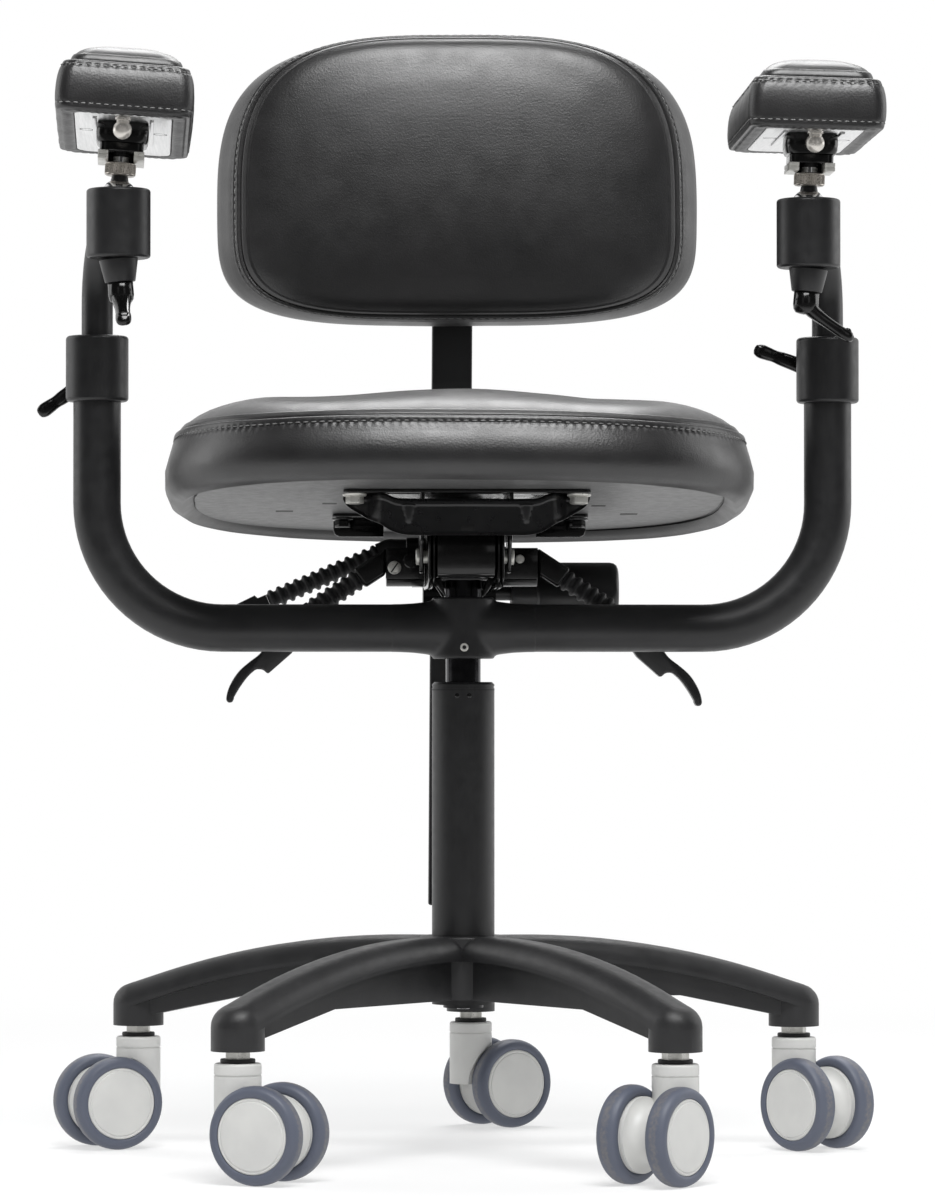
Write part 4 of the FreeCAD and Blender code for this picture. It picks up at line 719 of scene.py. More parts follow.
def makeCushion(name, s, matrix, body, slot, node):
    path = smoothPath(s["profile"], spanSteps)
    lengths = runLength(path)
    corners = lengths[::spanSteps]
    seamAt = corners[s["seamPoint"]]
    near = np.arange(-s["strip"] - seam["fineBelow"], seam["fineAbove"], s["fineRow"]) + seamAt
    below = np.linspace(0, near[0], s["lowRows"], endpoint=False)
    above = np.linspace(near[-1], lengths[-1], s["highRows"] + 1)[1:]
    at = np.concatenate([below, near, above])
    inset = np.interp(at, lengths, path[:, 0])
    level = np.interp(at, lengths, path[:, 1])
    seamInset = s["profile"][s["seamPoint"]][0]
    perimeter = evenAngles(s, seamInset, 4)[1]
    stitches = round(perimeter / s["pitch"])
    count = stitches * perStitch
    angles = evenAngles(s, seamInset, count)[0]
    grid = np.array([ringAt(outlineRing(s, i, angles), z) for i, z in zip(inset, level)])
    d = (at - seamAt)[:, None]
    if "crown" in s:
        onPanel = eased((d - seam["crownFrom"]) / seam["crownFade"])
        grid[..., 2] += onPanel * s["crown"](grid[..., 0], grid[..., 1])
    if "lift" in s:
        share = np.clip((level - s["liftFrom"]) / (s["profile"][s["seamPoint"]][1] - s["liftFrom"]), 0, 1)
        grid[..., 2] += share[:, None] * s["lift"](grid[..., 1])
    normals = outwardNormals(grid)
    held = (np.abs(at - seamAt) < seam["held"]) | (inset > s["heldInset"]) & (at < seamAt / 2)
    grid -= normals * s["startsSmaller"] * np.where(held, 0, 1)[:, None, None]
    moved, start = swellOf(name + "Cloth", grid, held, s)
    swell = spreadMoves(grid, moved, start)
    # where the rings close up, the panel moves as one
    middle = np.clip((inset / inset[-1] - 0.5) / 0.4, 0, 1)[:, None] * (at > seamAt)[:, None]
    swell = swell * (1 - middle) + swell[-8:].mean() * middle
    print(name, "swelled by", round(float(moved.max()), 2), "mm at most")
    grid += normals * swell[..., None]
    normals = outwardNormals(grid)
    phase = np.arange(count) / perStitch
    relief = seamRelief(d, phase[None, :], s)
    for edge in s["hems"]:
        hem = at[:, None] - corners[edge["point"]]
        pulled = 0.7 + 0.3 * np.cos(fullTurn * phase[None, :])
        relief -= edge["depth"] * hump(hem, 1.2) * pulled
    for fold in s.get("folds", ()):
        low, high = (corners[point] for point in fold["points"])
        crease = at[:, None] - high
        relief -= fold["crease"] * hump(crease, 0.9)
        across = np.clip((at - low) / (high - low), 0, 1)
        window = np.sin(across * math.pi)[:, None]
        wander = np.sin(fullTurn * phase * 0.13) + 0.6 * np.sin(fullTurn * phase * 0.071 + 1.0)
        relief += fold["gather"] * window * np.cos(fullTurn * phase * 0.9 + 2 * wander)[None, :]
    flat = grid.reshape(-1, 3)
    ripple = np.array([noise.noise(Vector(p) / s["rippleSize"] + Vector((3.1, 0.7, 5.3))) for p in flat])
    relief = relief + s["ripple"] * ripple.reshape(grid.shape[:2])
    grid = grid + normals * relief[..., None]
    shape = skin(grid, capFirst=True, capLast=True)
    piece = fit(name, placed(shape, matrix), "leather", body, slot, node, sharp=80)
    lines = [int(np.argmin(np.abs(at - seamAt + s["strip"])))]
    for edge in s["hems"]:
        lines.append(int(np.argmin(np.abs(at - corners[edge["point"]]))))
    threads = []
    for line in lines:
        loop = grid[line] + normals[line] * thread["lift"]
        threads.append(placed((loop, []), matrix)[0])
    points = np.vstack(threads)
    edges = []
    for k in range(len(lines)):
        edges += [(k * count + i, k * count + (i + 1) % count) for i in range(count)]
    sewing = grow(name + "Stitches", stitchTree, {
        "Pitch": perimeter / stitches * mm, "Length": s["pitch"] * thread["share"] * mm,
        "Thickness": thread["thick"] * mm, "Material": finishes["thread"]}, points, edges)
    dress(sewing, body, slot)
    print(name, "made:", stitches, "stitches a row,", len(piece.data.polygons), "faces")
    return piece


def seatCrown(x, y):
    # thigh hollows on either side of a low ridge, fuller sides and a dish towards the rear
    ridge = 4.0 * hump(x, 60) * hump(y + 150, 90)
    thighs = -3.0 * hump(np.abs(x) - 105, 45) * hump(y + 90, 110)
    sides = 4.0 * hump(np.abs(x) - 178, 42)
    dish = -6.0 * hump(x, 130) * hump(y - 90, 90)
    return ridge + thighs + sides + dish


def seatLift(y):
    # the band grows taller behind the front edge
    share = np.clip((y + 190) / 190, 0, 1)
    return 9.0 * (0.5 * eased(share) + 0.5 * np.sin(share * math.pi / 2))


def backCrown(x, y):
    return 8.0 * np.exp(-(x / 150) ** 2 - ((y - 15) / 80) ** 2)


seatPad = {
    "halfWidth": 235.0, "front": 223.5, "rear": 211.5, "powerFront": 2.7, "powerRear": 2.7,
    "profile": ((224, 13), (122, 13), (25, 12.5), (22, 1), (12.5, -6.5), (3.6, 1), (0, 14), (4.5, 30),
                (10, 42), (26, 54.5), (60, 62.5), (120, 66), (224, 67)),
    "seamPoint": 8, "strip": 6.5, "pitch": 6.7, "fineRow": 0.85, "lowRows": 26, "highRows": 26,
    "grooveDepth": 1.5, "stitchDepth": 1.1, "dive": 0.8, "hems": (), "heldInset": 6.0,
    "voxel": 6.0, "pressure": 5.0, "mostSwell": 5.0, "startsSmaller": 0.8,
    "ripple": 0.22, "rippleSize": 30.0, "crown": seatCrown, "fill": 0.9, "lift": seatLift,
    "liftFrom": 8.0, "aside": -4.0, "roll": 0.4,
}
seatPlace = {"level": 521.0, "tilt": -5.0}
seatFrame = Matrix.Translation((0, 0, seatPlace["level"])) @ Matrix.Rotation(
    math.radians(seatPlace["tilt"]), 4, "X")
seatRoll = Matrix.Rotation(math.radians(seatPad["roll"]), 4, "Y")
seatAside = Matrix.Translation((seatPad["aside"], 0, 0)) @ seatRoll
makeCushion("seatPad", seatPad, seatFrame @ seatAside, "seat", "leather_black", "seat_cushion")

backPad = {
    "halfWidth": 202.0, "front": 91.5, "rear": 149.5, "powerFront": 3.8, "powerRear": 3.3,
    "bands": (0.5, -0.5, -1.15),
    "profile": ((190, 0.2), (90, 0.2), (14, 0.2), (7, 1.2), (1.5, 6), (0, 13), (3, 26), (8, 37), (14, 45),
                (30, 55.5), (58, 60.5), (80, 61.6), (184, 62)),
    "seamPoint": 8, "strip": 4.2, "pitch": 6.7, "fineRow": 0.85, "lowRows": 26, "highRows": 26,
    "grooveDepth": 1.5, "stitchDepth": 1.0, "dive": 0.8, "hems": (), "heldInset": 6.0,
    "voxel": 6.0, "pressure": 5.0, "mostSwell": 5.0, "startsSmaller": 0.8,
    "ripple": 0.22, "rippleSize": 34.0, "crown": backCrown, "fill": 0.9,
}
backPlace = {"aside": 1.8, "rear": 205.0, "level": 768.5, "lean": -0.3}
backFrame = Matrix.Translation((backPlace["aside"], backPlace["rear"], backPlace["level"])) @ Matrix.Rotation(
    math.radians(backPlace["lean"]), 4, "Y") @ Matrix.Rotation(math.radians(90), 4, "X")
makeCushion("backPad", backPad, backFrame, "backrest", "leather_black", "back_cushion")


def padFrame(side):
    z = jointAxis(f"{side}_lock_nut_turn")
    y = jointAxis(f"{side}_pad_slide")
    turn = Matrix((y.cross(z), y, z)).transposed().to_4x4()
    return Matrix.Translation(jointPlace(f"{side}_pad_roll")) @ turn


armPad = {
    "halfWidth": 54.0, "front": 130.0, "rear": 130.0, "corner": 13.0, "behind": 60.0,
    "profile": ((50, 60.9), (30, 60.9), (15.8, 60.9), (15.4, 57.2), (12.5, 56.4), (8, 56.3), (4.5, 56.5),
                (2.2, 57.2), (0.6, 62), (0, 74.6), (1.2, 85.6), (3.4, 91.8), (5.6, 94.9), (9, 96.4),
                (11.6, 101), (18, 107), (28, 111), (40, 112.4), (51, 112.6)),
    "seamPoint": 13, "strip": 6.4, "pitch": 6.0, "fineRow": 0.8, "lowRows": 80, "highRows": 18,
    "grooveDepth": 2.0, "stitchDepth": 1.3, "dive": 0.6,
    "hems": ({"point": 8, "depth": 0.7},), "heldInset": 1.5,
    "folds": ({"points": (3, 6), "crease": 1.1, "gather": 0.35},),
    "voxel": 5.0, "pressure": 5.0, "mostSwell": 4.0, "startsSmaller": 0.6,
    "ripple": 0.2, "rippleSize": 18.0, "fill": 0.9,
}
for side in sides:
    setBack = Matrix.Translation((0, armPad["behind"], 0))
    place = padFrame(side) @ setBack
    makeCushion(f"{side}ArmPad", armPad, place, f"{side}_pad", "leather_black", f"{side}_arm_pad")


# Ribbed sleeves of the three levers

sleeves = {
    "lift": {"origin": (70.0, 38.0, 470.0), "fall": 33.0, "way": 1, "ribs": 6, "outer": 8.6, "valley": 6.3},
    "seat": {"origin": (-70.0, 38.0, 470.0), "fall": 33.0, "way": -1, "ribs": 6, "outer": 8.6, "valley": 6.3},
    "back": {"origin": (-58.0, 75.0, 487.0), "fall": 23.5, "way": -1, "ribs": 13, "outer": 8.0,
             "valley": 5.6},
}
for lever, s in sleeves.items():
    fall = math.radians(s["fall"])
    axis = Vector((s["way"] * math.cos(fall), 0, -math.sin(fall)))
    start, end = spanAlong(f"{lever}_lever_sleeve", s["origin"], axis)
    sleeve = grow(f"{lever}LeverSleeve", ribTree, {
        "Start": (Vector(s["origin"]) + axis * start) * mm, "End": (Vector(s["origin"]) + axis * end) * mm,
        "Ribs": s["ribs"], "Outer": s["outer"] * mm, "Valley": s["valley"] * mm,
        "Material": finishes["rubber"]}, sharp=30)
    dress(sleeve, f"{lever}_lever", "sleeve_rubber", f"{lever}_lever_sleeve")
print("lever sleeves made")


# Casters: cover discs and tyres

wheel = {"radius": 37.5, "thickness": 18.0, "spread": 62.0, "rim": 29.0, "bore": 4.2}


def wheelFrame(number):
    return axesAt(jointPlace(f"caster_{number}_roll"), jointAxis(f"caster_{number}_roll"), (0, 0, 1))


def rimProfile(s):
    # from the bore at the inner face, over the rim, to the middle of the cover disc
    inner = s["spread"] / 2 - s["thickness"] + 0.5
    outer = s["spread"] / 2 - 0.5
    rim = s["rim"]
    return ((s["bore"], inner + 1.5), (22.0, inner + 1.5), (23.0, inner + 0.4), (rim - 1, inner),
            (rim, inner + 1), (rim, outer - 1.8), (rim - 0.5, outer - 0.9), (rim - 1.5, outer - 0.5),
            (rim - 2.2, outer - 0.9), (rim - 2.8, outer - 0.9), (rim - 3.4, outer - 0.3),
            (rim - 10, outer + 0.1), (8.0, outer + 0.3), (0, outer + 0.3))


def tyreProfile(s):
    inner = s["spread"] / 2 - s["thickness"]
    outer = s["spread"] / 2
    rim = s["rim"] + 0.05
    corners = ((rim, inner + 1.2), (rim + 2.2, inner + 0.3), (rim + 5.6, inner + 0.8),
               (s["radius"] - 0.9, inner + 3.4), (s["radius"], inner + 7.0), (s["radius"], outer - 7.0),
               (s["radius"] - 0.9, outer - 3.4), (rim + 5.6, outer - 0.8), (rim + 2.2, outer - 0.3),
               (rim, outer - 1.2))
    curve = smoothPath(corners, 4)
    curve[:, 0] = np.minimum(curve[:, 0], s["radius"])
    return [tuple(p) for p in curve]


for number in casterNumbers:
    body = f"caster_{number}_wheels"
    place = wheelFrame(number)
    flip = place @ Matrix.Rotation(math.pi, 4, "X")
    rim = lathe(rimProfile(wheel), 72)
    pair = joined([placed(rim, place), placed(rim, flip)])
    fit(f"caster{number}Rims", pair, "casterNylon", body, "caster_grey", f"caster_{number}_rims")
    tyre = turnedRing(tyreProfile(wheel))
    pair = joined([placed(tyre, place), placed(tyre, flip)])
    tyres = fit(f"caster{number}Tyres", pair, "tyre", body, "tyre_grey", f"caster_{number}_tyres", sharp=60)
    hub = np.array(jointPlace(f"caster_{number}_roll"))
    axis = np.array(jointAxis(f"caster_{number}_roll"))
    offset = np.array([vertex.co for vertex in tyres.data.vertices]) / mm - hub
    sideways = np.abs(np.abs(offset @ axis) - wheel["spread"] / 2 + wheel["thickness"] / 2)
    reach = np.linalg.norm(offset - np.outer(offset @ axis, axis), axis=1)
    worn = np.clip((reach - wheel["radius"] + 1.6) / 1.4, 0, 1) * np.clip(1.3 - sideways / 6, 0, 1)
    tread = tyres.data.attributes.new("tread", "FLOAT", "POINT")
    tread.data.foreach_set("value", worn.tolist())
print("wheels made")


# Arm supports, drawn in the pad's frame: the ball's centre is the origin and Z is the stem

def tower(levels, corner, middle=(0, 0)):
    # rounded rectangles (half width, half length, height) one above the other
    rings = []
    for wide, length, height in levels:
        corners = ((wide, length), (-wide, length), (-wide, -length), (wide, -length))
        outline = np.array(roundCorners(corners, corner)) + np.array(middle)
        rings.append(ringAt(outline, height))
    return skin(np.array(rings))


def ballProfile(radius, centre, top):
    # lower part of a ball, up to the angle where its neck starts
    angles = np.radians(np.linspace(-90, top, 22))
    return [(radius * math.cos(a), centre + radius * math.sin(a)) for a in angles]


padPlate = {"half": (38.0, 112.0), "behind": 60.0, "corner": 12.0, "low": 56.6, "high": 60.6, "lip": 0.8,
            "railX": (20.8, 23.8), "railY": (-38.0, 96.0), "railLow": 54.6, "holeX": 29.0, "holeY": 41.0,
            "hole": (4.6, 5.6)}
stopPin = {"ahead": 46.0, "ball": 7.3, "ballTop": 43, "centre": 46.3, "neck": 5.0,
           "washer": ((5.0, 53.4), (6.2, 53.8), (6.2, 55.6), (5.0, 56.0), (5.0, 57.0))}
carrier = {"half": 20.5, "length": 24.0, "corner": 9.0, "foot": 26.8, "step": 33.3, "block": 39.3,
           "top": 56.2, "stepHalf": 17.0, "armHalf": 18.0, "mouth": 10.0, "bush": 6.4}
lockNut = {"low": 16.3, "high": 26.3, "radius": 12.4, "root": 11.5, "teeth": 44, "depth": 1.3}


def makePadPlate(side, s):
    place = padFrame(side)
    wide, length = s["half"]
    lip = s["lip"]
    sheet = tower(((wide - lip, length - lip, s["low"]), (wide, length, s["low"] + lip),
                   (wide, length, s["high"])),
                  s["corner"], (0, s["behind"]))
    rails = []
    for way in (-1, 1):
        x = sideX(way, s["railX"])
        rails.append(block((x[0], s["railY"][0], s["railLow"]), (x[1], s["railY"][1], s["low"] + lip)))
    fit(f"{side}PadPlate", placed(joined([sheet] + rails), place), "aluminium", f"{side}_pad",
        "pad_aluminium", f"{side}_pad_plate", bevel=0.5)
    # painted shade: dark rings at the plate's two holes stand in for the shade inside them
    hole = squareRing(*s["hole"], s["low"] - 0.05, s["low"] + 0.3, 40)
    holes = [placed(hole, place @ Matrix.Translation((way * s["holeX"], s["holeY"], 0))) for way in (-1, 1)]
    fit(f"{side}PadPlateHoles", joined(holes), "rubberAndPaintedShade", f"{side}_pad", "mechanism_black")


def makeStopPin(side, s):
    profile = ballProfile(s["ball"], s["centre"], s["ballTop"])
    profile += [(s["neck"], profile[-1][1] + 0.2), *s["washer"]]
    place = padFrame(side) @ Matrix.Translation((0, -s["ahead"], 0))
    fit(f"{side}StopPin", placed(lathe(profile), place), "satinNickel", f"{side}_pad", "nut_steel")


def makeCarrier(side, s):
    place = padFrame(side)
    half, length = s["half"], s["length"]
    low, top = s["block"], s["top"]
    slider = tower(((half - 3.5, length - 2.5, low), (half - 1.6, length - 0.8, low + 1.0),
                    (half - 0.4, length, low + 4), (half, length, low + 9), (half - 0.3, length, top - 2),
                    (half - 0.8, length - 0.4, top)), s["corner"])
    step = tower(((s["stepHalf"] - 0.6, length - 1.6, s["step"]),
                  (s["stepHalf"], length - 1, s["step"] + 0.6), (s["stepHalf"], length - 1, low + 0.2)), 5.0)
    fit(f"{side}SlideBlock", placed(joined([slider, step]), place), "gloss", f"{side}_carrier",
        "carrier_black", f"{side}_pad_carrier", sharp=30)
    arms = []
    middle = (s["foot"] + s["step"]) / 2
    for way in (-1, 1):
        x = sideX(way, (s["mouth"], s["armHalf"]))
        arms.append(block((x[0], -length, s["foot"]), (x[1], length, middle - 0.3)))
        arms.append(block((x[0] + 0.4, 0.4 - length, middle - 0.4), (x[1] - 0.4, length - 0.4, middle + 0.4)))
        arms.append(block((x[0], -length, middle + 0.3), (x[1], length, s["step"] - 0.1)))
    # painted shade: a dark block in the mouth between the bright arms stands in for the shade inside it
    mouthShade = block((-s["mouth"], 8.0, s["foot"] + 0.2), (s["mouth"], length, s["step"] - 0.1))
    fit(f"{side}CarrierPlate", placed(joined(arms), place), "zinc", f"{side}_carrier", "zinc_plate",
        bevel=0.25)
    fit(f"{side}CarrierInside", placed(mouthShade, place), "rubberAndPaintedShade", f"{side}_carrier", "carrier_black")
    bushProfile = ((s["bush"] - 0.5, s["foot"] - 0.3), (s["bush"], s["foot"] + 0.1),
                   (s["bush"], s["step"] - 2.4), (4.6, s["step"] - 2.0), (4.6, s["step"] - 0.1))
    fit(f"{side}CarrierBush", placed(lathe(bushProfile), place), "chrome", f"{side}_carrier", "ball_chrome")


def makeLockNut(side, s):
    place = padFrame(side)
    low, high, radius, root = s["low"], s["high"], s["radius"], s["root"]
    profile = ((6.3, low), (radius - 1.6, low), (radius - 0.4, low + 0.8), (radius - 0.4, low + 1.5),
               (root, low + 1.8), (root, high - 1.5), (radius - 0.5, high - 1.2),
               (radius - 0.5, high - 0.7), (radius - 1.4, high), (6.3, high))
    fit(f"{side}LockNut", placed(lathe(profile, 64), place), "nickel", f"{side}_nut", "nut_steel",
        f"{side}_lock_nut")
    band = place @ Matrix.Translation((0, 0, (low + high) / 2))
    knurl = grow(f"{side}LockNutKnurl", knurlTree, {
        "Teeth": s["teeth"], "Radius": root * mm, "Depth": s["depth"] * mm, "Height": (high - low - 3.2) * mm,
        "Material": finishes["nickel"]}, sharp=20, place=band)
    dress(knurl, f"{side}_nut", "nut_steel")


# Levers under the ball housings: a funnel, a hub and a cranked handle

clampLever = {
    "funnel": ((5.2, -0.4), (14.6, -0.4), (15.2, -1.2), (12.0, -18.2), (11.6, -18.7), (9.6, -18.8)),
    "hub": ((9.2, -18.4), (9.9, -19.0), (10.0, -29.0), (9.4, -32.6), (7.6, -35.2), (4.0, -36.2)),
    "path": ((1.0, -28.0), (6.0, -33.5), (14.0, -39.0), (24.0, -45.0), (32.0, -49.5), (37.0, -51.6),
             (39.5, -52.2)),
    "halves": ((8.6, 7.0), (7.6, 5.6), (6.2, 4.6), (5.8, 4.4), (6.2, 4.6), (5.2, 4.0), (2.0, 1.6)),
    "thumb": ((0, 3.6), (3, 3.4)), "thumbEnd": 2.6, "thumbHalves": ((3.4, 1.0), (4.4, 1.8), (3.0, 1.2)),
    "left": -88.0, "right": 0.0, "lean": {"left": -4.5, "right": 4.5},
    "screw": 4.2, "screwAt": (3.4, -33.4), "screwTurn": 0.75, "slot": (0.5, 0.4, 1.36),
}


def handleShape(path, halves, sideways, power=2.6, perSpan=8):
    rows = np.column_stack([path, halves])
    fine = smoothPath(rows, perSpan)
    return sweep(fine[:, :3], fine[:, 3:], sideways, power)


def makeClampLever(side, s):
    head = jointPlace(f"{side}_clamp_lever_turn")
    place = Matrix.Translation((head.x, head.y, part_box(f"{side}_ball_housing")[0][2] / mm))
    place = place @ Matrix.Rotation(math.radians(s["lean"][side]), 4, "Y")
    turn = math.radians(s[side])
    out = np.array((math.cos(turn), math.sin(turn), 0))
    path = [out * reach + np.array((0, 0, level)) for reach, level in s["path"]]
    handle = handleShape(path, s["halves"], np.cross((0, 0, 1), out))
    bump = [path[-3] + out * along + (0, 0, rise) for along, rise in s["thumb"]]
    bump.append(path[-2] + (0, 0, s["thumbEnd"]))
    bump = handleShape(bump, s["thumbHalves"], np.cross((0, 0, 1), out))
    fit(f"{side}ClampLever", placed(joined([lathe(s["hub"]), handle, bump]), place), "gloss",
        f"{side}_clamp_lever", "lever_black", f"{side}_clamp_lever", sharp=50)
    fit(f"{side}ClampFunnel", placed(lathe(s["funnel"], 64), place), "powderCoat", f"{side}_clamp_lever",
        "lever_black")
    down = Vector(-out * s["screwTurn"]) + Vector((0, 0, -1))
    inward, level = s["screwAt"]
    seat = Vector(-out * inward) + Vector((0, 0, level))
    dome = lathe(((s["screw"], -1.5), (s["screw"], 0.6), (s["screw"] - 0.6, 1.2), (0, 1.3)), 28)
    # painted shade: a dark block in the screw head stands in for the shade inside its slot
    half, low, high = s["slot"]
    slotShade = block((-s["screw"] + 0.6, -half, low), (s["screw"] - 0.6, half, high))
    screwPlace = place @ axesAt(seat, down)
    fit(f"{side}ClampScrew", placed(dome, screwPlace), "oxide", f"{side}_clamp_lever", "lever_black")
    fit(f"{side}ClampScrewSlot", placed(slotShade, screwPlace), "rubberAndPaintedShade", f"{side}_clamp_lever", "lever_black")


# Levers behind the arm collars

collarLever = {
    "hub": ((4.0, 0.5), (8.2, 0.5), (9.0, 1.3), (9.0, 14.6), (8.0, 16.4), (4.0, 17.0)),
    "reach": (0.0, 9.0, 22.0, 36.0, 42.0, 47.0, 54.0, 58.0, 59.0),
    "halves": ((8.6, 4.4), (7.4, 4.4), (6.2, 4.2), (5.6, 4.0), (5.0, 3.4), (5.4, 4.0), (5.6, 4.2),
               (3.8, 2.8), (1.6, 1.2)),
    "level": 12.5, "left": 215.0, "right": 160.0,
}


def makeCollarLever(side, s):
    hub = jointPlace(f"{side}_collar_lever_turn")
    place = axesAt(hub, (0, 1, 0), (1, 0, 0))
    turn = math.radians(s[side])
    along = np.array((math.cos(turn), 0, math.sin(turn)))
    centre = np.array(hub) + np.array((0, s["level"], 0))
    path = [centre + along * reach for reach in s["reach"]]
    handle = handleShape(path, s["halves"], np.cross((0, 1, 0), along), 3.0)
    fit(f"{side}CollarLever", joined([placed(lathe(s["hub"]), place), handle]), "gloss",
        f"{side}_collar_lever", "lever_black", f"{side}_collar_lever", sharp=50)


for side in sides:
    makePadPlate(side, padPlate)
    makeStopPin(side, stopPin)
    makeCarrier(side, carrier)
    makeLockNut(side, lockNut)
    makeClampLever(side, clampLever)
    makeCollarLever(side, collarLever)
print("arm supports made")


# Tilt mechanism: a pressed box between side plates, over the gas spring's socket

mechanism = {
    "boxHalf": 23.0, "front": -72.0, "rear": 120.0, "low": 461.0, "top": 496.2, "plateIn": 24.6,
    "plateOut": 29.8, "plateLow": 453.0, "socketLow": 446.4, "socket": 15.4, "gussetTop": 25.0,
    "gussetFoot": 16.2, "gussetY": ((-26.0, -22.0), (20.0, 24.0)), "capHalf": 26.0, "sheet": 1.8,
    "plateRear": 58.0, "socketBore": 14.2, "knobBlock": (88.0, 116.0, 439.4),
    "pins": ((36.6, -40.0, 477.4), (37.6, 104.0, 483.4)),
    "pinHead": ((3.0, -8), (5.0, -8), (5.0, 0), (6.4, 0), (6.4, 1.8), (5.2, 2.4), (0, 2.6)),
}


def prismX(outline, low, high):
    # outline of (y, z), drawn out along X
    points, faces = prism(outline, low, high)
    return np.stack([points[:, 2], points[:, 0], points[:, 1]], axis=1), faces


def prismY(outline, low, high):
    # outline of (x, z), drawn out along Y
    points, faces = prism(outline, low, high)
    return np.stack([points[:, 0], points[:, 2], points[:, 1]], axis=1), faces


def makeMechanism(s):
    front, rear, low, top = s["front"], s["rear"], s["low"], s["top"]
    boxSide = [(front + 2, top), (front, top - 4), (front, low + 7), (front + 2, low + 2),
               (front + 7, low), (rear, low), (rear, top)]
    shapes = [prismX(boxSide, -s["boxHalf"], s["boxHalf"])]
    knobFront, knobRear, knobLow = s["knobBlock"]
    shapes.append(block((-s["plateOut"], knobFront, knobLow), (s["plateOut"], knobRear, low + 4)))
    plateSide = [(front - 2, top), (front - 2, low - 2), (front + 16, s["plateLow"]),
                 (s["plateRear"], s["plateLow"]), (rear, low - 2), (rear, top)]
    innerX = s["plateIn"], s["plateIn"] + s["sheet"]
    outerX = s["plateOut"] - s["sheet"], s["plateOut"]
    for way in (-1, 1):
        for plateX in (innerX, outerX):
            shapes.append(prismX(plateSide, *sideX(way, plateX)))
        x = sideX(way, (innerX[1], outerX[0]))
        shapes.append(block((x[0], front + 12, low), (x[1], rear - 6, top - 3)))
        foot, shoulder = s["gussetFoot"], s["gussetTop"]
        gusset = ((way * (foot - 1.6), s["socketLow"]), (way * foot, s["socketLow"]),
                  (way * shoulder, low - 1), (way * shoulder, low + 3), (way * (shoulder - 6), low + 3))
        shapes += [prismY(gusset, *y) for y in s["gussetY"]]
    shoulder, depth = s["gussetTop"], s["capHalf"]
    shapes.append(block((-shoulder, -depth, low - 1.5), (shoulder, depth, low + 3)))
    fit("mechanismBody", joined(shapes), "gloss", "carriage", "mechanism_black", "mech_body", bevel=0.9)
    socket = lathe(((s["socketBore"], s["socketLow"]), (s["socket"], s["socketLow"]), (s["socket"], low + 1),
                    (s["socketBore"], low + 1)), 64)
    fit("gasSpringSocket", socket, "mirrorBlack", "carriage", "mechanism_black")
    heads = []
    for reach, y, z in s["pins"]:
        for way in (-1, 1):
            place = axesAt((way * reach, y, z), (way, 0, 0), (0, 0, 1))
            heads.append(placed(lathe(s["pinHead"], 32), place))
    fit("pivotPins", joined(heads), "zinc", "carriage", "zinc_plate")
    print("mechanism made")


makeMechanism(mechanism)


# Pressed seat plate, drawn in the seat's frame: a deck with ears, two cheeks, and hems behind

seatPlate = {
    "thick": 3.0, "front": -95.0, "rear": 88.0, "half": 62.0, "earLength": 26.0, "frontEar": 97.0,
    "rearEar": 104.0, "corner": 6.0, "cheekX": (33.3, 36.3), "pivot": (-36.05, -46.9), "eye": 13.0,
    "rearDrop": 16.5, "rearCorner": 5.0, "hem": 2.4, "tuck": 1.5,
}


def makeSeatPlate(s):
    front, rear, ear = s["front"], s["rear"], s["earLength"]
    deck = ((-s["frontEar"], front), (s["frontEar"], front), (s["frontEar"], front + ear),
            (s["half"], front + ear), (s["half"], rear - ear), (s["rearEar"], rear - ear),
            (s["rearEar"], rear), (-s["rearEar"], rear), (-s["rearEar"], rear - ear),
            (-s["half"], rear - ear), (-s["half"], front + ear), (-s["frontEar"], front + ear))
    shapes = [prism(roundCorners(deck, s["corner"]), -s["thick"], 0)]
    pivotY, pivotZ = s["pivot"]
    eye = [(pivotY + s["eye"] * math.cos(a), pivotZ + s["eye"] * math.sin(a))
           for a in np.radians(np.linspace(195, 355, 15))]
    tuck = s["tuck"]  # how far a cheek or hem reaches into the deck
    cheek = [(front + tuck, -tuck), (front + tuck, -30), (front + 22, -36), (pivotY - 22, -40)] + eye
    cheek += [(pivotY + 24, -34), (2, -26), (2, -tuck)]
    for way in (-1, 1):
        shapes.append(prismX(cheek, *sideX(way, s["cheekX"])))
    wide, drop, corner = s["rearEar"] - 1, s["rearDrop"], s["rearCorner"]
    for way in (-1, 1):
        hem = ((wide, -tuck), (wide, corner - drop), (wide - 0.3 * corner, 0.3 * corner - drop),
               (wide - corner, -drop), (s["half"], -drop), (s["half"], -tuck))
        shapes.append(prismY([(way * x, z) for x, z in hem], rear - s["hem"], rear))
    fit("seatPlate", placed(joined(shapes), seatFrame), "gloss", "seat", "mechanism_black", "seat_plate",
        bevel=0.8)


makeSeatPlate(seatPlate)

flange = {
    "front": -95.2, "sheet": 1.6, "columns": 160, "rows": 46, "half": 97.0, "back": 22.0,
    "backFrom": 66.0, "backTo": 80.0,
    "top": ((0, -7.5), (44, -7.5), (56, -6.8), (64, -3.6), (72, -1.8), (80, -1.2), (97, -1.2)),
    "bottom": ((0, -36.8), (40, -36.8), (50, -36.4), (60, -33.2), (70, -26.6), (82, -18.8), (90, -14.2),
               (94.5, -10.6), (97, -6.0)),
    "rimDepth": 1.1, "panelDrop": 5.6, "panelStep": 1.2, "ribX": 46.0, "ribLength": 14.0, "ribHalf": 5.6,
    "ribOut": 2.6, "slot": (10.5, 4.6, -30.6), "rimHalf": 1.1, "topDip": 3.0, "topHalf": 1.6, "clear": 0.4,
}


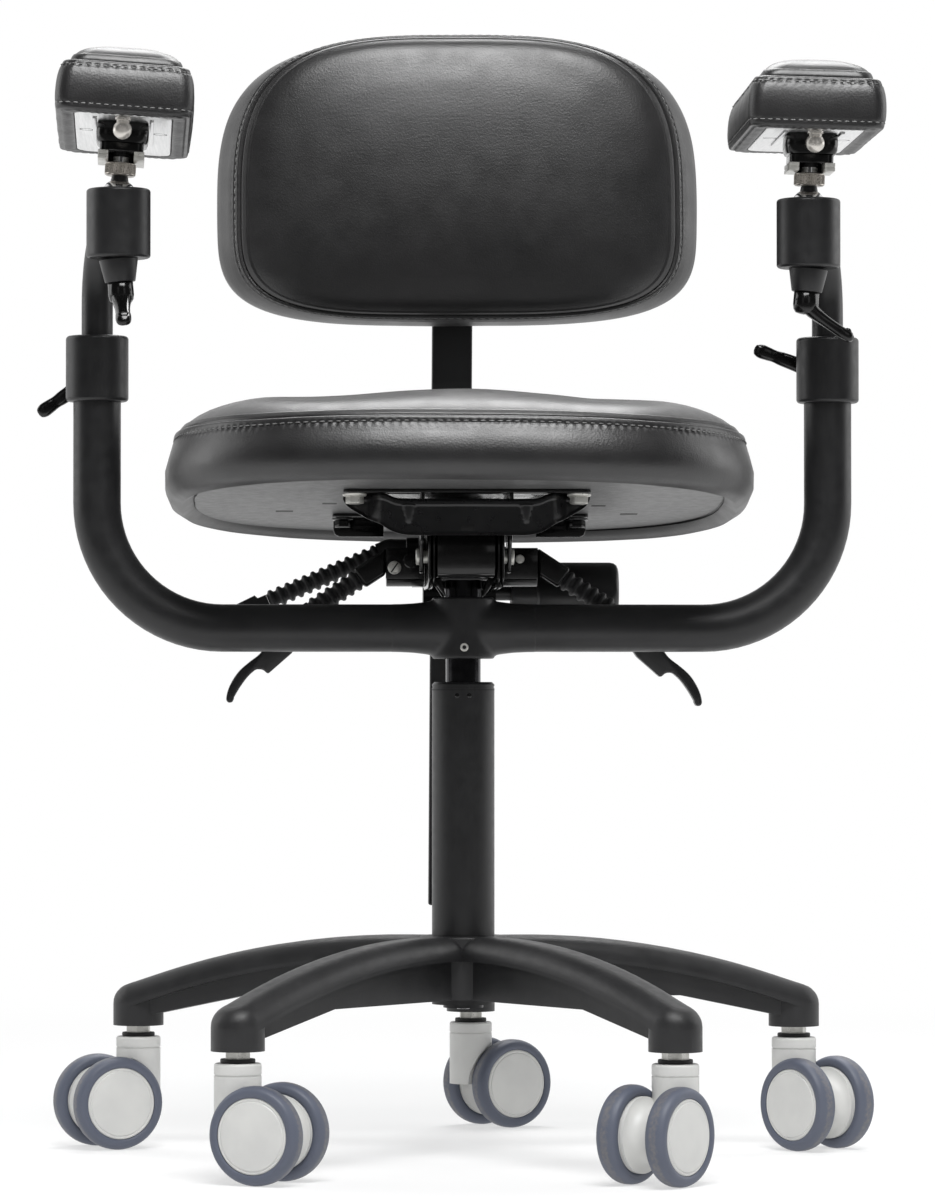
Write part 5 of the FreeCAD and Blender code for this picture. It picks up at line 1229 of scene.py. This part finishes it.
def makeFlange(s):
    x = np.linspace(-s["half"], s["half"], s["columns"])
    top = np.interp(np.abs(x), *zip(*smoothPath(s["top"], 10)))
    bottom = np.interp(np.abs(x), *zip(*smoothPath(s["bottom"], 10)))
    share = np.linspace(0, 1, s["rows"])[:, None]
    z = top + (bottom - top) * share
    xx = np.broadcast_to(x, z.shape)
    below = top - z
    above = z - bottom
    edge = np.minimum(above, s["half"] - np.abs(xx))
    out = s["rimDepth"] * hump(edge, s["rimHalf"])
    out -= s["topDip"] * hump(below, s["topHalf"])
    out -= s["panelStep"] * np.clip((below - s["panelDrop"] + 0.5), 0, 1) * np.clip(edge / 2 - 0.6, 0, 1)
    ribShare = np.clip((below - s["panelDrop"]) / s["ribLength"], 0, 1)
    ribWide = s["ribHalf"] * (1 - 0.62 * ribShare)
    ribShape = np.clip(1 - (np.abs(np.abs(xx) - s["ribX"]) / ribWide) ** 2, 0, 1) ** 0.7
    out += (s["ribOut"] + s["panelStep"]) * ribShape * (below > s["panelDrop"]) * (1 - ribShare) ** 0.4
    # the ears of the relief stand back, behind the bolts
    turnBack = eased((np.abs(xx) - s["backFrom"]) / (s["backTo"] - s["backFrom"]))
    y = s["front"] - s["clear"] - out + s["back"] * turnBack
    face = np.stack([xx, y, z], axis=2)
    back = np.stack([xx, y + s["sheet"], z], axis=2)
    columns = s["columns"]
    rows = s["rows"]
    points = np.vstack([face.reshape(-1, 3), back.reshape(-1, 3)])
    faces = []
    half = rows * columns
    for r in range(rows - 1):
        for c in range(columns - 1):
            i = r * columns + c
            faces.append([i, i + columns, i + columns + 1, i + 1])
            faces.append([half + i, half + i + 1, half + i + columns + 1, half + i + columns])
    rim = [(0, c) for c in range(columns)] + [(r, columns - 1) for r in range(1, rows)]
    rim += [(rows - 1, c) for c in range(columns - 2, -1, -1)] + [(r, 0) for r in range(rows - 2, 0, -1)]
    loop = [r * columns + c for r, c in rim]
    for k, i in enumerate(loop):
        j = loop[(k + 1) % len(loop)]
        faces.append([i, j, half + j, half + i])
    fit("seatPlateFlange", placed((points, faces), seatFrame), "enamel", "seat", "mechanism_black",
        sharp=50)
    # painted shade: a dark block set into the flange's face stands in for the shade inside its slot
    wide, high, level = s["slot"]
    depth = s["front"] - s["clear"] + s["panelStep"]
    slot = block((-wide / 2, depth - 0.15, level - high / 2), (wide / 2, depth + 1, level + high / 2))
    fit("seatPlateSlot", placed(slot, seatFrame), "rubberAndPaintedShade", "seat", "mechanism_black", bevel=0.05)


makeFlange(flange)

# Flanged hexagon bolts under the seat plate's ears
seatBolt = {"flats": 12.6, "washer": 9.6, "under": -3.0, "head": 7.4, "places": ((88, -82), (95, 75))}


def makeSeatBolts(s):
    washer = lathe(((0, s["under"] + 0.2), (s["washer"], s["under"] + 0.2), (s["washer"], s["under"] - 0.8),
                    (s["washer"] - 1.2, s["under"] - 1.6), (0, s["under"] - 1.8)), 36)
    radius = s["flats"] / math.sqrt(3)
    head = prism(hexagon(radius), s["under"] - s["head"], s["under"] - 1.0)
    bolt = newPiece("boltPattern", joined([washer, head]), "zinc", bevel=0.5)
    for name, (x, y), finish in zip(("seatBolts", "rearSeatBolts"), s["places"], ("zinc", "gloss")):
        bolts = grow(name, scatterTree, {"Part": bolt, "Material": finishes[finish]}, [(-x, y, 0), (x, y, 0)],
                     place=seatFrame)
        dress(bolts, "seat", "zinc_plate", *(("seat_bolts",) if finish == "zinc" else ()))
    bpy.data.objects.remove(bolt)


makeSeatBolts(seatBolt)

# Slits moulded through the seat board, near the bolts: dark blocks, painted shade standing in for the shade
# inside them
boardSlits = {"sizes": ((11.5, 8.0), (14.0, 9.0), (11.5, 8.0), (14.0, 9.0)),
              "places": ((-107, 0), (-143, 50), (109, 12), (137, 66))}
slits = []
for (x, y), size in zip(boardSlits["places"], boardSlits["sizes"]):
    wide, long = size[0] / 2, size[1] / 2
    slits.append(block((x - wide, y - long, -0.12), (x + wide, y + long, 0.4)))
fit("seatBoardSlits", placed(joined(slits), seatFrame), "rubberAndPaintedShade", "seat", "board_black")

# Painted shade: a dark ring in the gap between the board and the leather's hem
boardGapShade = dict(seatPad, inset=(20.5, 24.4))
gapShadeAngles = evenAngles(boardGapShade, 18, 240)[0]
gapShadeRings = []
for inset, z in zip(boardGapShade["inset"] + boardGapShade["inset"][::-1], (-0.3, -0.3, 0.6, 0.6)):
    gapShadeRings.append(ringAt(outlineRing(boardGapShade, inset, gapShadeAngles), z))
gapShadePoints, gapShadeFaces = skin(np.array(gapShadeRings + gapShadeRings[:1]), capFirst=False, capLast=False)
fit("seatBoardJoint", placed((gapShadePoints, gapShadeFaces), seatFrame @ seatAside), "rubberAndPaintedShade", "seat",
    "board_black")


# Hand levers under the seat: brackets on the mechanism, cranked arms, hooked paddles

handLever = {
    "axisY": 38.0, "axisZ": 470.0, "elbow": 70.0, "fall": 33.0, "armEnd": 15.0, "sleeveEnd": 60.6,
    "half": 9.0, "bracket": (30.5, 61.0, 455.5, 486.5), "bracketHalf": 12.5, "thick": 8.0,
    "outer": ((0, 7.5), (14, 6.5), (30, 2), (45, -3.5), (55, -7.2), (66, -8.2), (77, -10.0), (88, -15.0),
              (94.5, -20.0), (97.5, -24), (97, -26.5), (94.5, -27.6), (92, -26.4)),
    "inner": ((91, -25.2), (82, -20.8), (72, -17.2), (64, -15.9)), "further": {"lift": 5.0, "seat": 0.0},
    "tab": ((59.5, -19.1), (58.1, -24.4), (33, -20.8), (12, -12.5), (0, -7.5)),
}
leverSides = {"lift": 1, "seat": -1}


def leverPoint(s, way, along, across):
    fall = math.radians(s["fall"])
    x = way * (s["elbow"] + along * math.cos(fall) + across * math.sin(fall))
    return x, s["axisZ"] - along * math.sin(fall) + across * math.cos(fall)


def makeHandLever(lever, way, s):
    face = s["bracket"][1]
    rise = math.tan(math.radians(s["fall"]))
    topEnd = leverPoint(s, way, s["armEnd"], s["half"])
    lowEnd = leverPoint(s, way, s["armEnd"], -s["half"])
    armSide = [(way * (face + 0.3), topEnd[1] + (abs(topEnd[0]) - face) * rise), topEnd, lowEnd,
               (way * (face + 0.3), lowEnd[1] + (abs(lowEnd[0]) - face) * rise)]
    middle = s["axisY"]
    fit(f"{lever}LeverArm", prismY(armSide, middle - s["half"], middle + s["half"]), "gloss",
        f"{lever}_lever", "lever_black", bevel=2.6, bevelSteps=4)
    outer = smoothPath(s["outer"], 5)
    inner = smoothPath(s["inner"], 5)
    drawn = np.vstack([outer, inner, s["tab"]])
    start = s["sleeveEnd"] + s["further"][lever]
    outline = [leverPoint(s, way, start + along, across) for along, across in drawn]
    fit(f"{lever}LeverPaddle", prismY(outline, middle - s["thick"], middle + s["thick"]), "lever",
        f"{lever}_lever", "lever_black", f"{lever}_lever", sharp=30, bevel=1.6, bevelSteps=3)
    near, far, low, high = s["bracket"]
    x = sideX(way, (near, far))
    depth = s["bracketHalf"]
    box = block((x[0], middle - depth, low + 6), (x[1], middle + depth, high))
    drum = lathe(((depth - 0.5, x[0]), (depth, x[0] + 0.5), (depth, x[1] - 0.5), (depth - 0.5, x[1])), 48)
    drumPlace = axesAt((0, middle, low + depth), (1, 0, 0), (0, 0, 1))
    fit(f"{lever}LeverBracket", joined([box, placed(drum, drumPlace)]), "gloss", "carriage",
        "mechanism_black", bevel=0.8)


for lever, way in leverSides.items():
    makeHandLever(lever, way, handLever)

backLever = {"origin": (-58.0, 75.0, 487.0), "fall": 23.5, "sleeveEnd": 106.8, "thick": 6.0, "stub": 8.0,
             "inward": (14, 6, 0), "outward": (5, 9),
             "boss": ((5, 0), (9.0, 0), (9.5, 0.6), (9.5, 13.4), (9.0, 14.0), (5, 14.0)),
             "grip": ((0, 5.6), (7, 5.6), (8.5, 8.6), (30, 7.6), (52, 5.8), (56, 3.5), (57.5, 0),
                      (56, -3.5), (52, -6), (30, -7.6), (9, -8.6), (7, -6), (0, -5.6))}


def makeBackLever(s):
    fall = math.radians(s["fall"])
    along = np.array((-math.cos(fall), 0, -math.sin(fall)))
    across = np.array((-math.sin(fall), 0, math.cos(fall)))
    origin = np.array(s["origin"])
    outline = [origin + along * (s["sleeveEnd"] + a) + across * t for a, t in s["grip"]]
    flat = [(p[0], p[2]) for p in outline]
    grip = prismY(flat, origin[1] - s["thick"], origin[1] + s["thick"])
    elbow = [origin + (inward, 0, 0) for inward in s["inward"]]
    elbow += [origin + along * outward for outward in s["outward"]]
    stub = handleShape(elbow, [(s["stub"], s["stub"])] * len(elbow), (0, 1, 0), 2.0)
    fit("backLeverGrip", joined([grip, stub]), "lever", "back_lever", "lever_black", "back_lever",
        sharp=32, bevel=1.4, bevelSteps=3)
    boss = lathe(s["boss"], 40)
    place = axesAt((-mechanism["plateOut"], origin[1], origin[2]), (-1, 0, 0), (0, 0, 1))
    fit("backLeverBoss", placed(boss, place), "gloss", "carriage", "mechanism_black")


makeBackLever(backLever)

# Zinc screw and black cap on the left bracket, rivet on the right one
bracketFittings = {"screw": (-54.5, 470.5, 5.4), "cap": (-41.0, 476.5, 6.6), "rivet": (46.5, 477.5, 3.7)}


def makeBracketFittings(s):
    front = handLever["axisY"] - handLever["bracketHalf"]

    def facing(x, z):
        return axesAt((x, front, z), (0, -1, 0))

    x, z, radius = s["screw"]
    dome = lathe(((radius, -1), (radius, 0.8), (radius - 0.9, 1.9), (radius * 0.5, 2.4), (0, 2.5)), 40)
    fit("bracketScrew", placed(dome, facing(x, z)), "zinc", "carriage", "zinc_plate")
    # painted shade: a dark block in the screw's dome stands in for the shade inside its slot
    slot = block((0.8 - radius, -0.6, 1.4), (radius - 0.8, 0.6, 2.56))
    tilt = facing(x, z) @ Matrix.Rotation(math.radians(55), 4, "Z")
    fit("bracketScrewSlot", placed(slot, tilt), "rubberAndPaintedShade", "carriage", "mechanism_black")
    x, z, radius = s["cap"]
    cap = lathe(((radius, -1), (radius, 1.6), (radius - 1.0, 2.6), (0, 3.0)), 40)
    fit("bracketCap", placed(cap, facing(x, z)), "gloss", "carriage", "mechanism_black")
    x, z, radius = s["rivet"]
    rivet = lathe(((radius, -1), (radius, 0.4), (radius - 0.5, 1.1), (radius * 0.55, 1.3),
                   (radius * 0.5, 0.9), (0, 0.9)), 32)
    fit("bracketRivet", placed(rivet, facing(x, z)), "zinc", "carriage", "zinc_plate")


makeBracketFittings(bracketFittings)

# Tension knob: a smooth barrel with a plain collar
knob = {"start": (43.0, 110.0, 453.0),
        "profile": ((7.3, -26.0), (7.3, 0.0), (20.4, 0.0), (21.6, 1.2), (21.6, 20.4), (22.2, 21.0),
                    (23.0, 21.6), (24.0, 23.5), (24.0, 81.0), (23.4, 84.2), (21.8, 86.6), (19.0, 87.8),
                    (0, 88.0))}
fit("tensionKnob", placed(lathe(knob["profile"], 72), axesAt(knob["start"], (1, 0, 0), (0, 0, 1))),
    "lever", "tension_knob", "lever_black", "tension_knob", sharp=40)
print("seat underside made")


# Flat bar of the backrest, standing a little out of plumb
backBar = {"low": (-4.4, 235.0, 191.0), "high": (-0.6, 235.0, 780.0), "half": (17.0, 6.0), "round": 2.0,
           "chamfer": 1.2}


def makeBackBar(s):
    low, high = np.array(s["low"]), np.array(s["high"])
    along = (high - low) / np.linalg.norm(high - low)
    rings = []
    for step, shrink in ((0, s["chamfer"]), (s["chamfer"], 0), (np.linalg.norm(high - low), 0)):
        wide, thick = s["half"][0] - shrink, s["half"][1] - shrink
        corners = roundCorners(((wide, thick), (-wide, thick), (-wide, -thick), (wide, -thick)), s["round"])
        centre = low + along * step
        rings.append([centre + (x, y, 0) for x, y in corners])
    fit("backBar", skin(np.array(rings)), "powderCoat", "backrest", "powder_coat_black", "back_bar",
        sharp=30)


makeBackBar(backBar)

# Socket screws through the bar into the shell's boss, on the side that the photo doesn't show
barScrew = {"radius": 6.0, "head": 3.6, "socket": 2.6, "rear": 241.0,
            "places": ((-1.1, 715.0), (-0.8, 755.0))}


def makeBarScrews(s):
    head = turnedRing(((s["socket"], -1.0), (s["radius"], -1.0), (s["radius"], s["head"] - 0.8),
                       (s["radius"] - 0.8, s["head"]), (s["socket"], s["head"])), 36)
    pattern = newPiece("screwPattern", placed(head, axesAt((0, 0, 0), (0, 1, 0))), "oxide")
    screws = grow("barScrews", scatterTree, {"Part": pattern, "Material": finishes["oxide"]},
                  [(x, s["rear"], z) for x, z in s["places"]])
    bpy.data.objects.remove(pattern)
    dress(screws, "backrest", "powder_coat_black")


makeBarScrews(barScrew)


# Welded saddle where the yoke's tube meets its boss: one smooth skin over both
yokeSaddle = {
    "level": 421.5, "low": 397.0, "high": 445.9, "boss": 25.1, "rim": 2.0, "voxel": 1.1, "passes": 34,
    "weldHigh": (23, 5), "weldLong": (46, 10),
    "sleeve": ((0, 23.6), (14, 23.4), (22, 22.4), (30, 21.0), (40, 19.8), (50, 19.25), (58, 19.1)),
}


def makeYokeSaddle(s):
    rim = s["rim"]
    boss = lathe(((0, s["low"]), (s["boss"] - rim, s["low"]), (s["boss"] - 0.3 * rim, s["low"] + 0.3 * rim),
                  (s["boss"], s["low"] + rim), (s["boss"], s["high"] - rim),
                  (s["boss"] - 0.3 * rim, s["high"] - 0.3 * rim), (s["boss"] - rim, s["high"]),
                  (0, s["high"])), 96)
    half = [(radius, along) for along, radius in s["sleeve"]]
    end = half[-1][1]
    run = [(0, -end)] + [(radius, -along) for radius, along in half[:0:-1]] + half + [(0, end)]
    tube = placed(lathe(run, 96), axesAt((0, 0, s["level"]), (1, 0, 0), (0, 1, 0)))
    saddle = newPiece("yokeSaddle", joined([boss, tube]), "powderCoat", sharp=60)
    skinOver = saddle.modifiers.new("oneSkin", "REMESH")
    skinOver.mode = "VOXEL"
    skinOver.voxel_size = s["voxel"] * mm
    settle(saddle)
    # only the weld is eased: not the boss's ends nor the tube beyond
    weld = saddle.vertex_groups.new(name="weld")
    for vertex in saddle.data.vertices:
        along, level = abs(vertex.co.x / mm), abs(vertex.co.z / mm - s["level"])
        share = 1
        for (end, fade), reach in ((s["weldHigh"], level), (s["weldLong"], along)):
            share *= min(1, max(0, (end - reach) / fade))
        weld.add([vertex.index], share, "REPLACE")
    ease = saddle.modifiers.new("ease", "SMOOTH")
    ease.vertex_group = "weld"
    ease.iterations = s["passes"]
    ease.factor = 0.5
    settle(saddle)
    smooth(saddle.data, 50)
    dress(saddle, "carriage", "powder_coat_black")


makeYokeSaddle(yokeSaddle)

# Dark seal rings between the caster stems and the forks
casterSeal = {"inner": 9.6, "outer": 13.1, "low": 90.1, "high": 93.1}


def makeCasterSeals(s):
    middle = (s["low"] + s["high"]) / 2
    ring = turnedRing(((s["inner"], s["low"]), (s["outer"], s["low"]), (s["outer"] + 0.3, middle),
                       (s["outer"], s["high"]), (s["inner"], s["high"])), 48)
    seal = newPiece("sealPattern", ring, "rubberAndPaintedShade")
    places = [jointPlace(f"caster_{number}_swivel") for number in casterNumbers]
    seals = grow("casterSeals", scatterTree, {"Part": seal, "Material": finishes["rubberAndPaintedShade"]},
                 [(place.x, place.y, 0) for place in places])
    bpy.data.objects.remove(seal)
    dress(seals, "base", "tyre_grey")


makeCasterSeals(casterSeal)


# Small fittings on the yoke and the column

yokeScrew = {"place": (0.0, -25.0, 406.0), "radius": 3.3, "socket": 1.6}
columnMarks = {"level": 367.5, "spots": (-5.6, 4.0), "radius": 25.0, "spot": 1.9, "ring": 372.2}


def makeYokeScrew(s):
    place = axesAt(s["place"], (0, -1, 0))
    ring = turnedRing(((s["socket"], -2), (s["radius"], -2), (s["radius"], 0.25), (s["radius"] - 0.5, 0.6),
                       (s["socket"], 0.5)), 36)
    fit("yokeSetScrew", placed(ring, place), "zinc", "carriage", "zinc_plate")
    # painted shade: a dark hexagon in the screw stands in for the shade inside its socket
    fit("yokeSetScrewSocket", placed(prism(hexagon(s["socket"] * 1.05), -1.5, 0.1), place), "rubberAndPaintedShade",
        "carriage", "mechanism_black")


def makeColumnMarks(s):
    spots = []
    for x in s["spots"]:
        y = -math.sqrt(s["radius"] ** 2 - x ** 2)
        spot = lathe(((s["spot"], -0.6), (s["spot"], 0.05), (s["spot"] - 0.5, 0.35), (0.9, 0.5),
                      (0, 0.5)), 24)
        spots.append(placed(spot, axesAt((x, y, s["level"]), (x, y, 0), (0, 0, 1))))
    fit("columnCrimps", joined(spots), "gloss", "base", "powder_coat_black")
    line = squareRing(s["radius"] - 0.5, s["radius"] + 0.06, s["ring"] - 0.5, s["ring"] + 0.5, 96)
    fit("columnCollarLine", line, "rubberAndPaintedShade", "base", "powder_coat_black")


makeYokeScrew(yokeScrew)
makeColumnMarks(columnMarks)
print("small fittings made")


# Stage: floor, lamps, surroundings and camera

stage = {"floorHalf": 30.0, "floorColour": "#f4f4f4", "glow": 0.55, "fadeFrom": 0.7, "fadeTo": 2.2,
         "darkFrom": -0.5, "darkTo": -1.5, "darkest": 0.12}


def makeFloor(s):
    mesh = bpy.data.meshes.new("floor")
    half = s["floorHalf"]
    mesh.from_pydata([(-half, -half, 0), (half, -half, 0), (half, half, 0), (-half, half, 0)], [],
                     [(0, 1, 2, 3)])
    floor = bpy.data.objects.new("floor", mesh)
    bpy.context.scene.collection.objects.link(floor)
    material = bpy.data.materials.new("paleStudioFloor")
    material.use_nodes = True
    tree = material.node_tree
    tree.nodes.clear()
    lit = addNode(tree, "ShaderNodeBsdfDiffuse", {"Color": linear(s["floorColour"])})
    place = addNode(tree, "ShaderNodeTexCoord").outputs["Object"]
    # reflections see the unlit end of the studio in front of the chair
    depth = addNode(tree, "ShaderNodeSeparateXYZ", {"Vector": place}).outputs["Y"]
    shade = addNode(tree, "ShaderNodeMapRange", {
        "Value": depth, "From Min": s["darkTo"], "From Max": s["darkFrom"], "To Min": s["darkest"],
        "To Max": 1.0}, interpolation_type="SMOOTHSTEP")
    reflected = addNode(tree, "ShaderNodeLightPath").outputs["Is Glossy Ray"]
    strength = addNode(tree, "ShaderNodeMix", {"Factor": reflected, "A": 1.0, "B": shade.outputs["Result"]})
    glow = addNode(tree, "ShaderNodeEmission", {
        "Color": linear("#ffffff"), "Strength": strength.outputs["Result"]})
    reach = addNode(tree, "ShaderNodeVectorMath", {0: place}, operation="LENGTH")
    whiter = addNode(tree, "ShaderNodeMapRange", {
        "Value": reach.outputs["Value"], "From Min": s["fadeFrom"], "From Max": s["fadeTo"],
        "To Min": s["glow"], "To Max": 1.0}, interpolation_type="SMOOTHSTEP")
    mixed = addNode(tree, "ShaderNodeMixShader", {
        "Fac": whiter.outputs["Result"], 1: lit.outputs["BSDF"], 2: glow.outputs["Emission"]})
    addNode(tree, "ShaderNodeOutputMaterial", {"Surface": mixed.outputs["Shader"]})
    mesh.materials.append(material)


studio = {"dimY": 0.05, "brightY": 0.65, "dim": 0.04, "bright": 1.0, "fill": 0.25, "fillColour": "#f2f4f6"}


def makeSurroundings(s):
    # white to the camera, and in reflections bright behind but dim towards the front
    world = bpy.data.worlds.new("studio")
    bpy.context.scene.world = world
    world.use_nodes = True
    tree = world.node_tree
    tree.nodes.clear()
    path = addNode(tree, "ShaderNodeLightPath").outputs
    direction = addNode(tree, "ShaderNodeTexCoord").outputs["Generated"]
    parts = addNode(tree, "ShaderNodeSeparateXYZ", {"Vector": direction}).outputs
    behind = addNode(tree, "ShaderNodeMapRange", {
        "Value": parts["Y"], "From Min": s["dimY"], "From Max": s["brightY"], "To Min": s["dim"],
        "To Max": s["bright"]}, interpolation_type="SMOOTHSTEP")
    shiny = addNode(tree, "ShaderNodeMath", {
        0: path["Is Glossy Ray"], 1: path["Is Transmission Ray"]}, operation="MAXIMUM")
    reflected = addNode(tree, "ShaderNodeBackground", {
        "Color": linear("#ffffff"), "Strength": behind.outputs["Result"]})
    fill = addNode(tree, "ShaderNodeBackground", {"Color": linear(s["fillColour"]), "Strength": s["fill"]})
    seen = addNode(tree, "ShaderNodeBackground", {"Color": linear("#ffffff"), "Strength": 1.0})
    soft = addNode(tree, "ShaderNodeMixShader", {
        "Fac": shiny.outputs["Value"], 1: fill.outputs["Background"], 2: reflected.outputs["Background"]})
    final = addNode(tree, "ShaderNodeMixShader", {
        "Fac": path["Is Camera Ray"], 1: soft.outputs["Shader"], 2: seen.outputs["Background"]})
    addNode(tree, "ShaderNodeOutputWorld", {"Surface": final.outputs["Shader"]})


lamps = {
    "overFront": {"place": (0.15, -1.3, 2.35), "size": (1.4, 1.1), "power": 58.0, "reflected": True},
    "overBack": {"place": (0.15, 1.25, 2.5), "size": (1.5, 1.2), "power": 40.0, "reflected": True},
    "leftSide": {"place": (-2.8, 0.7, 1.5), "size": (1.4, 2.0), "power": 16.0, "reflected": True},
    "rightSide": {"place": (2.8, 0.7, 1.5), "size": (1.4, 2.0), "power": 18.0, "reflected": True},
    "rightFront": {"place": (1.5, -2.9, 1.5), "size": (0.9, 1.5), "power": 2.0, "reflected": True},
    "leftFront": {"place": (-1.5, -2.9, 1.5), "size": (0.9, 1.5), "power": 1.0, "reflected": True},
    "frontFill": {"place": (0.0, -3.6, 1.3), "size": (2.6, 2.0), "power": 27.0, "reflected": False},
}


lampAim = (0, 0, 0.5)


def makeLamps():
    for name, s in lamps.items():
        data = bpy.data.lights.new(name, "AREA")
        data.shape = "RECTANGLE"
        data.size, data.size_y = s["size"]
        data.energy = s["power"]
        lamp = bpy.data.objects.new(name, data)
        bpy.context.scene.collection.objects.link(lamp)
        lamp.location = s["place"]
        lamp.visible_glossy = s["reflected"]
        towards = Vector(lampAim) - Vector(s["place"])
        lamp.rotation_euler = towards.to_track_quat("-Z", "Y").to_euler()


view = {"distance": 4132.0, "height": 364.0, "azimuth": -2.0, "aim": (3.4, 0.0, 444.0), "lens": 155.0,
        "film": 36.0}


def makeCamera(s):
    data = bpy.data.cameras.new("camera")
    data.sensor_fit = "VERTICAL"
    data.sensor_height = s["film"]
    data.lens = s["lens"]
    camera = bpy.data.objects.new("camera", data)
    bpy.context.scene.collection.objects.link(camera)
    turn = math.radians(s["azimuth"])
    place = Vector((math.sin(turn), -math.cos(turn), 0)) * s["distance"]
    place.z = s["height"]
    camera.location = place * mm
    camera.rotation_euler = (Vector(s["aim"]) - place).to_track_quat("-Z", "Y").to_euler()
    bpy.context.scene.camera = camera


makeFloor(stage)
makeSurroundings(studio)
makeLamps()
makeCamera(view)
bpy.context.scene.view_settings.view_transform = "Standard"
print("stage made")
